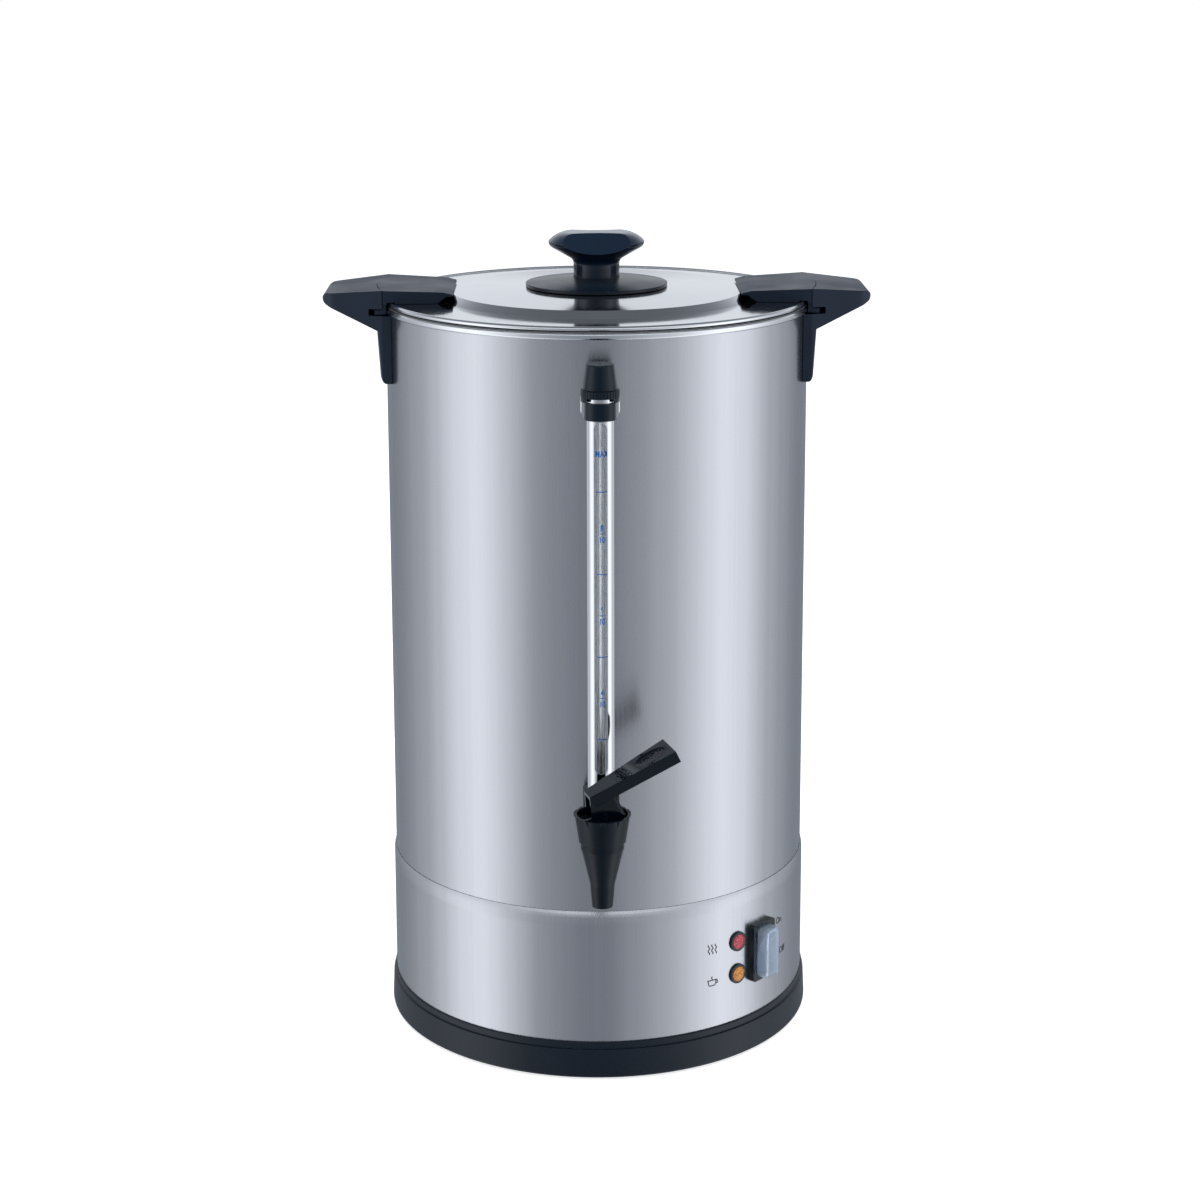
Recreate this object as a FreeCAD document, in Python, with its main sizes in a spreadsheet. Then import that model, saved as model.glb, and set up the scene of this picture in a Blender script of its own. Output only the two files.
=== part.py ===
import FreeCAD, Part
import math
import os

import Sketcher
from FreeCAD import Placement, Rotation, Vector

# Hot water urn, in millimetres. Z is up, the tap faces -Y and the urn's axis is X = Y = 0 with the floor at Z = 0.

os.makedirs("parts", exist_ok=True)
doc = FreeCAD.newDocument("HotWaterUrn")

SIZES = [
    # Fits
    ("seat_gap", 0.1, "between faces that are clamped together"),
    ("slip_gap", 0.05, "radial, between a pin and the hole it turns or slides in"),
    ("screw_gap", 0.15, "radial, between a screw and a clearance hole"),
    ("free_gap", 0.3, "between pieces that move past each other"),
    # Drum
    ("body_radius", 135.0, "outside of the drum wall"),
    ("shell_wall", 0.8, "steel sheet of the drum"),
    ("shell_foot", 101.0, "lower edge of the drum sheet"),
    ("rim_top", 473.3, "top of the rolled rim"),
    ("rim_width", 2.8, "radial width of the rolled rim"),
    ("rim_height", 4.0, "height of the rolled rim"),
    ("shank_height", 169.5, "middle of the tap's shank"),
    ("floor_top", -20.0, "inside bottom of the drum", "shank_height"),
    ("floor_thick", 1.0, "steel sheet of the floor"),
    ("floor_flange", 9.0, "height of the floor's turned-down edge"),
    ("floor_bend", 4.0, "outside bend radius of the floor's edge"),
    ("clamp_stud_reach", 88.0, "heater clamp studs from the axis"),
    ("clamp_stud_radius", 2.5, "heater clamp stud"),
    ("clamp_stud_length", 19.0, "heater clamp stud below the floor"),
    ("bracket_reach", -30.0, "thermostat bracket's middle line", "body_radius"),
    ("bracket_stud_radius", 2.0, "bracket stud"),
    ("bracket_stud_length", 15.0, "bracket stud below the floor"),
    ("tie_stud_radius", 3.0, "middle stud for the tie rod"),
    ("tie_stud_length", 30.0, "middle stud below the floor"),
    # Lower housing
    ("housing_radius", 1.2, "outside of the lower housing", "body_radius"),
    ("housing_wall", 1.0, "steel sheet of the lower housing"),
    ("housing_foot", 12.0, "lower edge of the housing sheet"),
    ("housing_shoulder", 107.2, "where the housing turns in"),
    ("housing_top", 110.9, "top edge of the housing"),
    ("housing_lip", 0.15, "thickness left at the housing's top edge"),
    ("housing_turn", 9.0, "radius of the shoulder"),
    # Base ring and feet
    ("ring_foot", 1.2, "underside of the base ring above the floor"),
    ("ring_low_radius", 3.9, "base ring near its foot", "body_radius"),
    ("ring_low_height", 4.0, "height of the widest line"),
    ("ring_high_radius", 3.2, "base ring at its shoulder", "body_radius"),
    ("ring_shoulder", 20.0, "height of the shoulder"),
    ("ring_step", 0.4, "height of the shoulder's slope"),
    ("ring_lip_radius", 2.2, "lip over the housing", "body_radius"),
    ("ring_top", 24.8, "top of the lip"),
    ("ring_inner_radius", -1.6, "inside of the ring's wall", "body_radius"),
    ("ring_inner_top", 18.0, "top of the inner wall"),
    ("ring_skirt_radius", -4.0, "inside of the ring under its flange", "body_radius"),
    ("flange_radius", -29.0, "inner edge of the flange that carries the cover", "body_radius"),
    ("flange_bottom", 5.0, "underside of the flange"),
    ("flange_top", 8.0, "top of the flange"),
    ("ring_edge", 1.8, "rounding at the ring's foot"),
    ("lip_edge", 0.5, "rounding of the ring's lip"),
    ("foot_reach", -16.5, "feet from the axis", "body_radius"),
    ("foot_radius", 10.0, "rubber foot"),
    ("foot_top_radius", 9.2, "rubber foot at its top"),
    ("foot_edge", 1.5, "rounding of the foot"),
    ("foot_recess", 4.6, "radius of the screw's recess"),
    ("foot_recess_depth", 2.7, "depth of the screw's recess"),
    ("foot_screw_radius", 2.0, "foot screw"),
    ("foot_head_radius", 4.0, "foot screw head"),
    ("foot_head_height", 2.0, "foot screw head"),
    ("foot_screw_top", 13.0, "end of the foot screw"),
    # Base cover
    ("cover_thick", 1.0, "steel base cover"),
    ("cover_radius", -2.1, "base cover", "body_radius"),
    ("collar_radius", 3.4, "threaded collar on the cover"),
    ("collar_height", 3.0, "threaded collar on the cover"),
    ("vent_inner", 58.0, "inner end of a vent slot"),
    ("vent_outer", 84.0, "outer end of a vent slot"),
    ("vent_half", 2.5, "half width of a vent slot"),
    ("vent_count", 12, "vent slots"),
    ("tie_flats", 10.0, "across the tie rod's flats"),
    ("tie_thread_depth", 12.0, "threaded holes in the tie rod"),
    ("tie_bolt_head", 5.2, "tie bolt head radius"),
    ("tie_bolt_head_height", 3.0, "tie bolt head"),
    ("tie_bolt_reach", 11.0, "tie bolt above the cover"),
    # Heater
    ("plate_radius", 82.0, "heat spreader plate"),
    ("plate_thick", 4.0, "heat spreader plate"),
    ("plate_hole", 4.5, "hole for the middle stud"),
    ("main_ring", 62.0, "main element's ring"),
    ("main_tube", 4.0, "main element's tube radius"),
    ("warm_ring", 36.0, "keep-warm element's ring"),
    ("warm_tube", 3.2, "keep-warm element's tube radius"),
    ("element_gap_angle", 26.0, "open part of each ring"),
    ("element_bend", 8.0, "bend at each element end"),
    ("element_tail", 8.0, "straight end of each element"),
    ("strap_half_width", 10.0, "clamp strap"),
    ("strap_thick", 3.0, "clamp strap"),
    ("strap_half_length", 93.0, "clamp strap"),
    ("clamp_nut_flats", 8.0, "clamp nuts"),
    ("clamp_nut_height", 4.0, "clamp nuts"),
    # Thermostats and their bracket
    ("bracket_inner", -41.0, "inner edge of the thermostat bracket", "body_radius"),
    ("bracket_outer", -19.0, "outer edge of the thermostat bracket", "body_radius"),
    ("bracket_angle", 124.0, "angle the bracket covers"),
    ("bracket_top", -30.9, "top of the bracket", "shank_height"),
    ("bracket_thick", 1.2, "bracket sheet"),
    ("bracket_stud_angle", 54.0, "studs to each side of the bracket's middle"),
    ("boil_angle", 40.0, "boil thermostat from the bracket's middle"),
    ("warm_angle", 12.0, "keep-warm thermostat from the bracket's middle"),
    ("bulb_angle", 26.0, "cut-out bulb from the bracket's middle"),
    ("thermostat_radius", 8.5, "thermostat body"),
    ("thermostat_hole", 7.3, "hole in the bracket"),
    ("thermostat_cap_radius", 7.6, "thermostat's metal cap"),
    ("thermostat_flange", 10.5, "thermostat's metal flange"),
    ("thermostat_body_top", -24.1, "top of the thermostat's body", "shank_height"),
    ("blade_half_width", 3.15, "half width of a terminal blade"),
    ("blade_half_thick", 0.4, "half thickness of a terminal blade"),
    ("blade_offset", 4.2, "blades from the middle"),
    ("blade_length", 8.0, "terminal blade"),
    ("bracket_nut_flats", 7.0, "bracket nuts"),
    ("bracket_nut_height", 3.2, "bracket nuts"),
    ("bulb_radius", 3.0, "cut-out bulb"),
    ("bulb_length", 44.0, "cut-out bulb"),
    ("capillary_radius", 0.9, "cut-out capillary"),
    ("capillary_bend", 4.0, "capillary's bends"),
    ("capillary_drop", 27.0, "how far it drops before it turns to the cut-out"),
    ("capillary_turn_x", -84.0, "its last turn before the cut-out"),
    ("capillary_turn_y", 20.0, "its last turn before the cut-out"),
    ("capillary_turn_drop", 63.0, "that turn below the bulb's end"),
    ("capillary_lead", 20.0, "straight end above the cut-out"),
    ("capillary_angle", 43.4, "capillary's hole from the bracket's middle"),
    ("capillary_reach", -25.5, "capillary's hole from the axis", "body_radius"),
    ("capillary_hole", 3.2, "capillary's hole"),
    ("saddle_height", 3.4, "tongue under the bulb"),
    ("saddle_half", 6.0, "half width of the tongue"),
    # Cut-out and terminal block on the cover
    ("cutout_x", -62.0, "cut-out"),
    ("cutout_y", -52.0, "cut-out"),
    ("cutout_half_width", 15.0, "cut-out body"),
    ("cutout_half_depth", 11.0, "cut-out body"),
    ("cutout_height", 18.0, "cut-out body"),
    ("bushing_radius", 4.8, "cut-out bushing"),
    ("bushing_drop", 1.6, "bushing below the cover"),
    ("button_radius", 2.5, "reset button"),
    ("button_drop", 1.6, "reset button below the bushing"),
    ("button_bore_top", 19.0, "top of the button's bore"),
    ("button_top", 15.0, "top of the button"),
    ("block_x", 58.0, "terminal block"),
    ("block_y", 40.0, "terminal block"),
    ("block_half_width", 21.0, "terminal block"),
    ("block_half_depth", 9.0, "terminal block"),
    ("block_height", 15.0, "terminal block"),
    ("block_bore", 1.5, "wire ways in the terminal block"),
    ("block_pitch", 13.0, "wire ways in the terminal block"),
    ("control_screw_radius", 1.5, "control screws"),
    ("control_head_radius", 2.8, "control screw head"),
    ("control_head_height", 1.8, "control screw head"),
    ("control_screw_reach", 7.0, "control screw above the cover"),
    ("cutout_screw_spread", 10.5, "cut-out screws from its middle"),
    ("block_screw_spread", 17.5, "block screws from its middle"),
    # Mains inlet
    ("inlet_height", 47.0, "middle of the inlet"),
    ("inlet_flange_half", 25.0, "inlet flange"),
    ("inlet_flange_rise", 11.3, "half height of the inlet flange"),
    ("inlet_flange_front", 4.4, "inlet flange front from the axis", "body_radius"),
    ("inlet_body_half", 13.5, "inlet body"),
    ("inlet_body_rise", 9.8, "half height of the inlet body"),
    ("inlet_body_back", -20.0, "inlet body's back from the axis", "body_radius"),
    ("inlet_socket_half", 12.0, "inlet opening"),
    ("inlet_socket_rise", 8.0, "half height of the inlet opening"),
    ("inlet_socket_floor", -15.5, "bottom of the opening from the axis", "body_radius"),
    ("inlet_corner", 4.0, "corners of the inlet"),
    ("inlet_hole_spread", 20.0, "inlet screws from the middle"),
    ("inlet_screw_radius", 1.5, "inlet screws"),
    ("inlet_head_radius", 2.9, "inlet screw head"),
    ("inlet_head_height", 1.6, "inlet screw head"),
    ("inlet_screw_back", -4.0, "end of an inlet screw from the axis", "body_radius"),
    ("pin_half_width", 1.0, "inlet pin"),
    ("pin_half_height", 2.0, "inlet pin"),
    ("pin_spread", 7.0, "outer inlet pins from the middle"),
    ("pin_rise", 2.0, "middle inlet pin above the outer ones"),
    ("pin_back", -28.0, "end of the pins' blades from the axis", "body_radius"),
    ("pin_front", 0.5, "end of the pins from the axis", "body_radius"),
    # Indicator lamps
    ("lamp_azimuth", 39.6, "lamps, turned from the tap"),
    ("heating_lamp_height", 77.9, "upper lamp"),
    ("warm_lamp_height", 56.2, "lower lamp"),
    ("lamp_rim_radius", 6.5, "lamp holder's rim"),
    ("lamp_rim_front", 2.6, "rim front from the axis", "body_radius"),
    ("lamp_barrel_radius", 5.7, "lamp holder's barrel"),
    ("lamp_bore", 4.8, "bore of the holder"),
    ("lamp_back", -21.0, "back of the holder from the axis", "body_radius"),
    ("lens_crown", 4.0, "lens crown from the axis", "body_radius"),
    ("lens_edge", 2.8, "lens edge from the axis", "body_radius"),
    # Switch
    ("switch_azimuth", 48.6, "switch, turned from the tap"),
    ("switch_height", 66.5, "middle of the switch"),
    ("bezel_half_width", 11.0, "switch bezel"),
    ("bezel_half_height", 19.0, "switch bezel"),
    ("bezel_front", 4.9, "bezel front from the axis", "body_radius"),
    ("bezel_corner", 2.0, "corners of the bezel"),
    ("switch_body_half", 8.6, "switch body"),
    ("switch_body_rise", 17.3, "half height of the switch body"),
    ("switch_body_back", -23.0, "switch body's back from the axis", "body_radius"),
    ("well_half", 6.9, "well for the rocker"),
    ("well_rise", 15.2, "half height of the well"),
    ("well_floor", -17.0, "bottom of the well from the axis", "body_radius"),
    ("boot_half", 7.2, "rubber cover"),
    ("boot_rise", 16.4, "half height of the rubber cover"),
    ("boot_ledge", 1.4, "ledge under the cover from the axis", "body_radius"),
    ("boot_front", 12.2, "crown of the cover from the axis", "body_radius"),
    ("boot_wall", 0.7, "wall of the cover"),
    ("boot_corner", 3.0, "corners of the cover"),
    ("boot_edge", 2.6, "rounding of the cover's crown"),
    ("rocker_pivot", -5.0, "rocker's pivot from the axis", "body_radius"),
    ("rocker_half", 5.9, "half width of the rocker"),
    ("rocker_pin_radius", 1.8, "rocker's pivot pin"),
    ("rocker_pin_half", 7.6, "half length of the pivot pin"),
    ("rocker_rise", 13.0, "half height of the rocker"),
    ("rocker_tip", 11.5, "rocker's ends before the pivot"),
    ("rocker_dip", 9.0, "rocker's middle before the pivot"),
    ("rocker_root", 2.0, "rocker's ends behind the face"),
    ("rocker_root_rise", 10.0, "rocker's root"),
    ("rocker_tail", 4.0, "rocker behind the pivot"),
    ("rocker_rest", 9.0, "rocker's tilt at rest"),
    ("switch_blade_back", -30.5, "end of the switch blades from the axis", "body_radius"),
    ("switch_blade_pitch", 10.0, "switch blades"),
    # Handles
    ("saddle_foot", -47.4, "lower edge of a handle's saddle", "rim_top"),
    ("saddle_top", -4.4, "top of the saddle", "rim_top"),
    ("saddle_round", 221.0, "roundness of the saddle's outside, flatter than the drum"),
    ("saddle_thick", 3.7, "thickness of the saddle at the middle of its foot"),
    ("saddle_taper", 2.0, "how much thicker the saddle is at the wing"),
    ("saddle_angle", 26.0, "angle that the saddle's outside covers before its sides are cut"),
    ("saddle_edge", 2.6, "rounding of the saddle's foot"),
    ("wing_inner", 5.3, "wing's inner face", "body_radius"),
    ("wing_start", -15.0, "inner end of the wing before the drum's room is cut", "body_radius"),
    ("wing_root", 2.5, "underside of the wing at the saddle", "body_radius"),
    ("wing_root_height", -14.1, "underside of the wing at the saddle", "rim_top"),
    ("wing_top", 11.8, "top of the wing at the drum", "rim_top"),
    ("wing_tip_top", 8.7, "top of the wing near its tip", "rim_top"),
    ("wing_tip_radius", 36.0, "where the tip's rounding starts", "body_radius"),
    ("wing_tip_height", 4.7, "height of the tip", "rim_top"),
    ("wing_radius", 41.6, "tip of the wing before its rounding", "body_radius"),
    ("wing_under_radius", 33.4, "underside near the tip", "body_radius"),
    ("wing_under_height", 0.0, "underside near the tip", "rim_top"),
    ("wing_tip_round", 3.5, "rounding of the tip in the side view"),
    ("wing_top_round", 4.0, "rounding from the tip to the top"),
    ("wing_half", 39.0, "half width at the drum"),
    ("wing_tip_half", 28.5, "half width near the tip"),
    ("wing_nose_half", 9.0, "half width of the tip's foremost part"),
    ("wing_corner", 11.0, "rounding of the tip's corners in the top view"),
    ("slot_bottom", -4.2, "floor of the lock slot", "rim_top"),
    ("slot_top", 0.1, "roof of the lock slot", "rim_top"),
    ("slot_depth", 13.0, "bottom of the lock slot from the axis", "body_radius"),
    ("handle_screw_height", -8.9, "handle screws", "rim_top"),
    ("handle_screw_angle", 9.5, "handle screws from the handle's middle"),
    ("handle_screw_radius", 2.0, "handle screws"),
    ("handle_screw_end", 11.0, "end of a handle screw from the axis", "body_radius"),
    ("handle_head_radius", 3.8, "handle screw head"),
    ("handle_head_height", 2.6, "handle screw head"),
    ("handle_washer_radius", 4.6, "handle washer"),
    ("handle_washer_thick", 1.0, "handle washer"),
    # Lid
    ("lid_sheet", 0.8, "steel sheet of the lid"),
    ("lid_crown", 9.3, "middle of the lid", "rim_top"),
    ("lid_plateau_radius", 45.0, "where the crown falls away"),
    ("lid_plateau", 9.0, "height there", "rim_top"),
    ("lid_shoulder_radius", -41.5, "outer edge of the raised middle", "body_radius"),
    ("lid_shoulder", 7.0, "height there", "rim_top"),
    ("lid_step_radius", -35.5, "foot of the step", "body_radius"),
    ("lid_ledge", 2.9, "top of the outer ledge", "rim_top"),
    ("lid_bead_radius", -0.4, "middle of the rolled edge", "body_radius"),
    ("lid_bead_height", 2.3, "middle of the rolled edge", "rim_top"),
    ("lid_bead", 1.5, "radius of the rolled edge"),
    ("seal_inner", -7.5, "seal's inner edge", "body_radius"),
    ("seal_skirt_inner", -3.8, "seal's skirt", "body_radius"),
    ("seal_skirt_foot", -3.9, "foot of the seal's skirt", "rim_top"),
    ("seal_fin_radius", 0.8, "seal between lid and rim", "body_radius"),
    ("seal_land", -2.5, "seal under the lid sheet", "body_radius"),
    ("seal_web", 0.2, "underside of the seal's web", "rim_top"),
    # Knob
    ("knob_base_radius", 45.3, "disc under the knob"),
    ("knob_base_edge", 2.0, "height of the disc's edge"),
    ("knob_base_top", 15.0, "top of the disc", "rim_top"),
    ("knob_base_dome", 269.0, "radius of the disc's dome"),
    ("knob_seat_depth", 2.2, "recess for the knob's neck"),
    ("knob_neck_radius", 14.7, "knob's neck"),
    ("knob_neck_top", 26.1, "where the neck meets the cap's underside", "rim_top"),
    ("knob_neck_fillet", 5.0, "rounding there"),
    ("knob_radius", 30.6, "knob"),
    ("knob_under", 35.4, "underside of the knob's edge", "rim_top"),
    ("knob_under_round", 4.0, "rounding of the underside's edge"),
    ("knob_top", 43.8, "top of the knob", "rim_top"),
    ("knob_flat", 18.0, "radius of the knob's flat top"),
    ("knob_crown", 16.5, "radius of the arc from the top to the edge"),
    ("scoop_radius", 66.0, "hollowness of the finger scoops"),
    ("scoop_start", 8.0, "top of a scoop from the knob's middle"),
    ("scoop_slope", 34.5, "slope of a scoop"),
    ("knob_screw_radius", 2.5, "knob screw"),
    ("knob_screw_top", 32.7, "end of the knob screw", "rim_top"),
    ("knob_head_radius", 5.0, "knob screw head"),
    ("knob_head_height", 3.0, "knob screw head"),
    # Lid lugs
    ("lug_inner", -44.0, "inner end of a lug", "body_radius"),
    ("lug_bevel", -38.0, "top of the inner bevel", "body_radius"),
    ("lug_bevel_height", 10.0, "height there", "rim_top"),
    ("lug_top", 12.0, "top of a lug at its outer end", "rim_top"),
    ("lug_radius", 4.9, "outer end of a lug", "body_radius"),
    ("lug_web_inner", 2.45, "inside of the lug's web", "body_radius"),
    ("lug_half", 39.0, "half width at the outer end"),
    ("lug_inner_half", 34.0, "half width at the inner end"),
    ("lug_foot_radius", 9.5, "lock foot", "body_radius"),
    ("lug_foot_bottom", -3.4, "underside of the lock foot", "rim_top"),
    ("lug_foot_top", -0.5, "top of the lock foot", "rim_top"),
    ("lug_foot_angle", 31.0, "angle that a lock foot covers"),
    ("lug_bead_room", -2.7, "room for the rolled edge, inner side", "body_radius"),
    ("lug_bead_roof", 4.2, "room for the rolled edge, top", "rim_top"),
    ("lug_screw_reach", -19.0, "lug screws from the axis", "body_radius"),
    ("lug_screw_angle", 9.0, "lug screws from the lug's middle"),
    ("lug_screw_radius", 1.75, "lug screws"),
    ("lug_screw_top", 8.7, "end of a lug screw", "rim_top"),
    ("lug_head_radius", 3.4, "lug screw head"),
    ("lug_head_height", 2.4, "lug screw head"),
    # Sight glass
    ("gauge_reach", 14.0, "sight glass from the axis", "body_radius"),
    ("glass_radius", 5.0, "sight glass"),
    ("glass_bore", 3.4, "sight glass"),
    ("glass_foot", 11.0, "lower end of the glass", "shank_height"),
    ("glass_top", -32.3, "upper end of the glass", "rim_top"),
    ("guard_half", 8.2, "half width of the guard"),
    ("guard_wall", 0.8, "guard sheet"),
    ("guard_corner", 7.0, "front corners of the guard"),
    ("guard_back", 4.0, "open side of the guard from the axis", "body_radius"),
    ("guard_foot", 24.7, "lower end of the guard", "shank_height"),
    ("guard_top", -35.5, "upper end of the guard", "rim_top"),
    ("slot_half", 4.0, "half width of the sight slot"),
    ("slot_foot", 38.3, "lower end of the sight slot", "shank_height"),
    ("slot_head", -49.7, "upper end of the sight slot", "rim_top"),
    ("gauge_collar_wall", 1.1, "black collar"),
    ("gauge_collar_foot", -48.7, "black collar", "rim_top"),
    ("gauge_collar_top", -38.2, "black collar", "rim_top"),
    ("mount_half", 11.7, "half width of the gauge bracket"),
    ("mount_front", 12.0, "bracket's arms from the axis", "body_radius"),
    ("mount_web", 3.6, "bracket's web from the axis", "body_radius"),
    ("mount_bevel", 3.0, "bevel under the bracket's arms"),
    ("gauge_bolt_height", -42.3, "gauge bolt", "rim_top"),
    ("gauge_bolt_radius", 2.5, "gauge bolt"),
    ("gauge_bolt_end", 3.2, "end of the gauge bolt from the axis", "body_radius"),
    ("gauge_head_radius", 4.6, "gauge bolt head"),
    ("gauge_head_height", 3.0, "gauge bolt head"),
    ("gauge_ring_radius", 11.5, "knurled nut"),
    ("gauge_ring_foot", -35.4, "knurled nut", "rim_top"),
    ("gauge_ring_top", -30.8, "knurled nut", "rim_top"),
    ("gauge_ear_foot", -37.9, "lower end of the nut's ears", "rim_top"),
    ("gauge_ear_inner", 9.1, "inside of the nut's ears"),
    ("gauge_window", 8.4, "half width between the ears"),
    ("knurl_radius", 0.45, "knurl grooves"),
    ("knurl_count", 36, "knurl grooves"),
    ("gauge_seal_radius", 7.2, "seal rings' outer radius"),
    ("gauge_seal_thick", 2.1, "seal rings' thickness"),
    ("cap_radius", 10.25, "cap's lower edge"),
    ("cap_top_radius", 8.3, "cap's upper edge"),
    ("cap_top", -15.8, "top of the cap", "rim_top"),
    ("cap_bore", 5.4, "inside of the cap"),
    ("cap_roof", -21.3, "roof inside the cap", "rim_top"),
    ("cap_vent", 0.8, "vent in the cap"),
    ("cap_edge", 0.8, "rounding of the cap"),
    ("gauge_base_half", 11.0, "half width of the lower block"),
    ("gauge_base_foot", -12.5, "lower block", "shank_height"),
    ("gauge_base_top", 24.6, "lower block", "shank_height"),
    ("gauge_base_front", 19.2, "lower block from the axis", "body_radius"),
    ("gauge_base_back", 1.9, "lower block's back from the axis", "body_radius"),
    ("gauge_way", 2.4, "water way up to the glass"),
    ("gauge_gland", 18.5, "floor of the lower seal's recess", "shank_height"),
    # Tap
    ("tap_reach", 55.0, "tap's upright axis from the urn's axis", "body_radius"),
    ("shank_radius", 8.0, "threaded shank"),
    ("shank_neck", 9.0, "neck between tap and block"),
    ("shank_neck_back", 19.4, "end of the neck from the urn's axis", "body_radius"),
    ("shank_end", -18.0, "inner end of the shank from the urn's axis", "body_radius"),
    ("shank_bore", 5.5, "water way"),
    ("spout_foot", -32.1, "outlet", "shank_height"),
    ("spout_foot_radius", 6.45, "outlet"),
    ("spout_waist", -18.1, "top of the outlet pipe", "shank_height"),
    ("spout_waist_radius", 7.7, "top of the outlet pipe"),
    ("chamber_low", 4.8, "top of the cone", "shank_height"),
    ("chamber_radius", 13.4, "outside of the chamber"),
    ("chamber_top", 9.1, "shoulder under the bonnet", "shank_height"),
    ("neck_radius", 12.0, "threaded neck under the bonnet"),
    ("neck_top", 15.9, "top of the threaded neck", "shank_height"),
    ("valve_bore", 9.5, "inside of the chamber"),
    ("valve_taper_top", 1.5, "where the chamber narrows", "shank_height"),
    ("valve_seat_radius", 8.2, "radius at the seat"),
    ("valve_seat", -6.0, "height of the seat", "shank_height"),
    ("outlet_bore", 5.0, "outlet bore"),
    ("tap_washer_radius", 13.0, "tap washers"),
    ("tap_washer_front", 1.7, "outer washer's face from the axis", "body_radius"),
    ("tap_washer_back", -3.6, "inner washer's face from the axis", "body_radius"),
    ("tap_nut_flats", 27.0, "tap nut"),
    ("tap_nut_back", -10.0, "tap nut's inner face from the axis", "body_radius"),
    ("bonnet_foot", 9.2, "bonnet", "shank_height"),
    ("bonnet_foot_radius", 14.6, "bonnet"),
    ("bonnet_top", 25.5, "bonnet", "shank_height"),
    ("bonnet_radius", 17.15, "bonnet"),
    ("bonnet_roof", 16.7, "ceiling inside the bonnet", "shank_height"),
    ("cup_floor", 20.5, "floor of the bonnet's cup", "shank_height"),
    ("cup_radius", 14.6, "cup at its floor"),
    ("cup_top_radius", 15.3, "cup at its rim"),
    ("flute_radius", 2.2, "bonnet flutes"),
    ("flute_reach", 18.7, "bonnet flutes from the tap's axis"),
    ("flute_foot", 11.1, "lower end of a flute", "shank_height"),
    ("flute_count", 12, "bonnet flutes"),
    ("stem_radius", 3.0, "valve stem"),
    ("stem_foot", -3.9, "valve stem", "shank_height"),
    ("stem_top", 29.8, "valve stem", "shank_height"),
    ("stem_shoulder", -0.5, "spring shoulder", "shank_height"),
    ("stem_shoulder_radius", 6.6, "spring shoulder"),
    ("stem_shoulder_thick", 2.0, "spring shoulder"),
    ("stem_edge", 0.8, "rounding of the stem's top"),
    ("cup_plug_radius", 6.8, "seat cup"),
    ("cup_plug_edge", 1.0, "seat cup"),
    ("spring_radius", 5.4, "spring's coil"),
    ("spring_wire", 0.55, "spring's wire radius"),
    ("spring_turns", 5, "spring's turns"),
    ("washer_radius", 12.0, "thrust washer"),
    ("washer_top", 21.5, "thrust washer", "shank_height"),
    ("pin_height", 25.8, "lever's pin", "shank_height"),
    ("pin_radius", 1.5, "lever's pin"),
    ("lever_azimuth", 106.25, "lever, turned from the tap's front"),
    ("lever_rise", 26.0, "arm's rise"),
    ("lever_top", 15.58, "arm's top face above the pin, square to the arm"),
    ("lever_depth", 7.3, "arm's depth"),
    ("lever_back", 2.97, "arm's start behind the pin"),
    ("lever_tip", 54.0, "arm's tip from the pin"),
    ("lever_half", 6.3, "half width at the hub"),
    ("lever_tip_half", 12.2, "half width at the tip"),
    ("lever_wall", 1.5, "lever's walls"),
    ("lever_roof", 1.9, "lever's top"),
    ("cam_radius", 6.5, "cam"),
    ("cam_reach", 7.28, "cam's middle from the pin"),
    ("cam_gap", 0.1, "cam above the thrust washer"),
    ("dish_x", 41.0, "thumb dish from the pin"),
    ("dish_long", 10.5, "half length of the thumb dish"),
    ("dish_wide", 7.4, "half width of the thumb dish"),
    ("dish_deep", 1.1, "depth of the thumb dish"),
    # Wiring
    ("wire_radius", 1.3, "insulated wires"),
    ("wire_bend", 5.0, "wires' bends"),
    ("wire_lead", 15.0, "straight ends of the wires"),
]


class Dim:
    """A size that keeps the spreadsheet expression it comes from."""

    def __init__(self, value, text=None):
        self.value = float(value)
        self.fixed = text is None
        self.text = text or "(%.10g)" % value

    def combined(self, other, sign, value):
        """Return the result of an operation, with its expression."""
        if self.fixed and other.fixed:
            return Dim(value)
        return Dim(value, "(%s %s %s)" % (self.text, sign, other.text))

    def is_plain(self, number):
        """Tell whether this is a plain number with the given value."""
        return self.fixed and self.value == number

    def __add__(self, other):
        other = dim(other)
        if other.is_plain(0):
            return self
        if self.is_plain(0):
            return other
        return self.combined(other, "+", self.value + other.value)

    def __radd__(self, other):
        return dim(other) + self

    def __sub__(self, other):
        other = dim(other)
        if other.is_plain(0):
            return self
        if self.text == other.text:
            return Dim(0)
        return self.combined(other, "-", self.value - other.value)

    def __rsub__(self, other):
        return dim(other) - self

    def __mul__(self, other):
        other = dim(other)
        if self.is_plain(0) or other.is_plain(0):
            return Dim(0)
        if other.is_plain(1):
            return self
        if self.is_plain(1):
            return other
        return self.combined(other, "*", self.value * other.value)

    def __rmul__(self, other):
        return dim(other) * self

    def __truediv__(self, other):
        other = dim(other)
        if self.is_plain(0) or other.is_plain(1):
            return self
        return self.combined(other, "/", self.value / other.value)

    def __rtruediv__(self, other):
        return dim(other) / self

    def __neg__(self):
        if self.fixed:
            return Dim(-self.value)
        return Dim(-self.value, "(0 - %s)" % self.text)


def dim(value):
    """Return a size for a plain number or for a size."""
    return value if isinstance(value, Dim) else Dim(value)


def call(name, size, value):
    """Return a size that is a function of another one."""
    return Dim(value) if size.fixed else Dim(value, "%s(%s)" % (name, size.text))


def root(size):
    """Return the square root of a size."""
    size = dim(size)
    return call("sqrt", size, math.sqrt(size.value))


def sine(angle):
    """Return the sine of an angle in degrees."""
    angle = dim(angle)
    return call("sin", angle, math.sin(math.radians(angle.value)))


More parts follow.
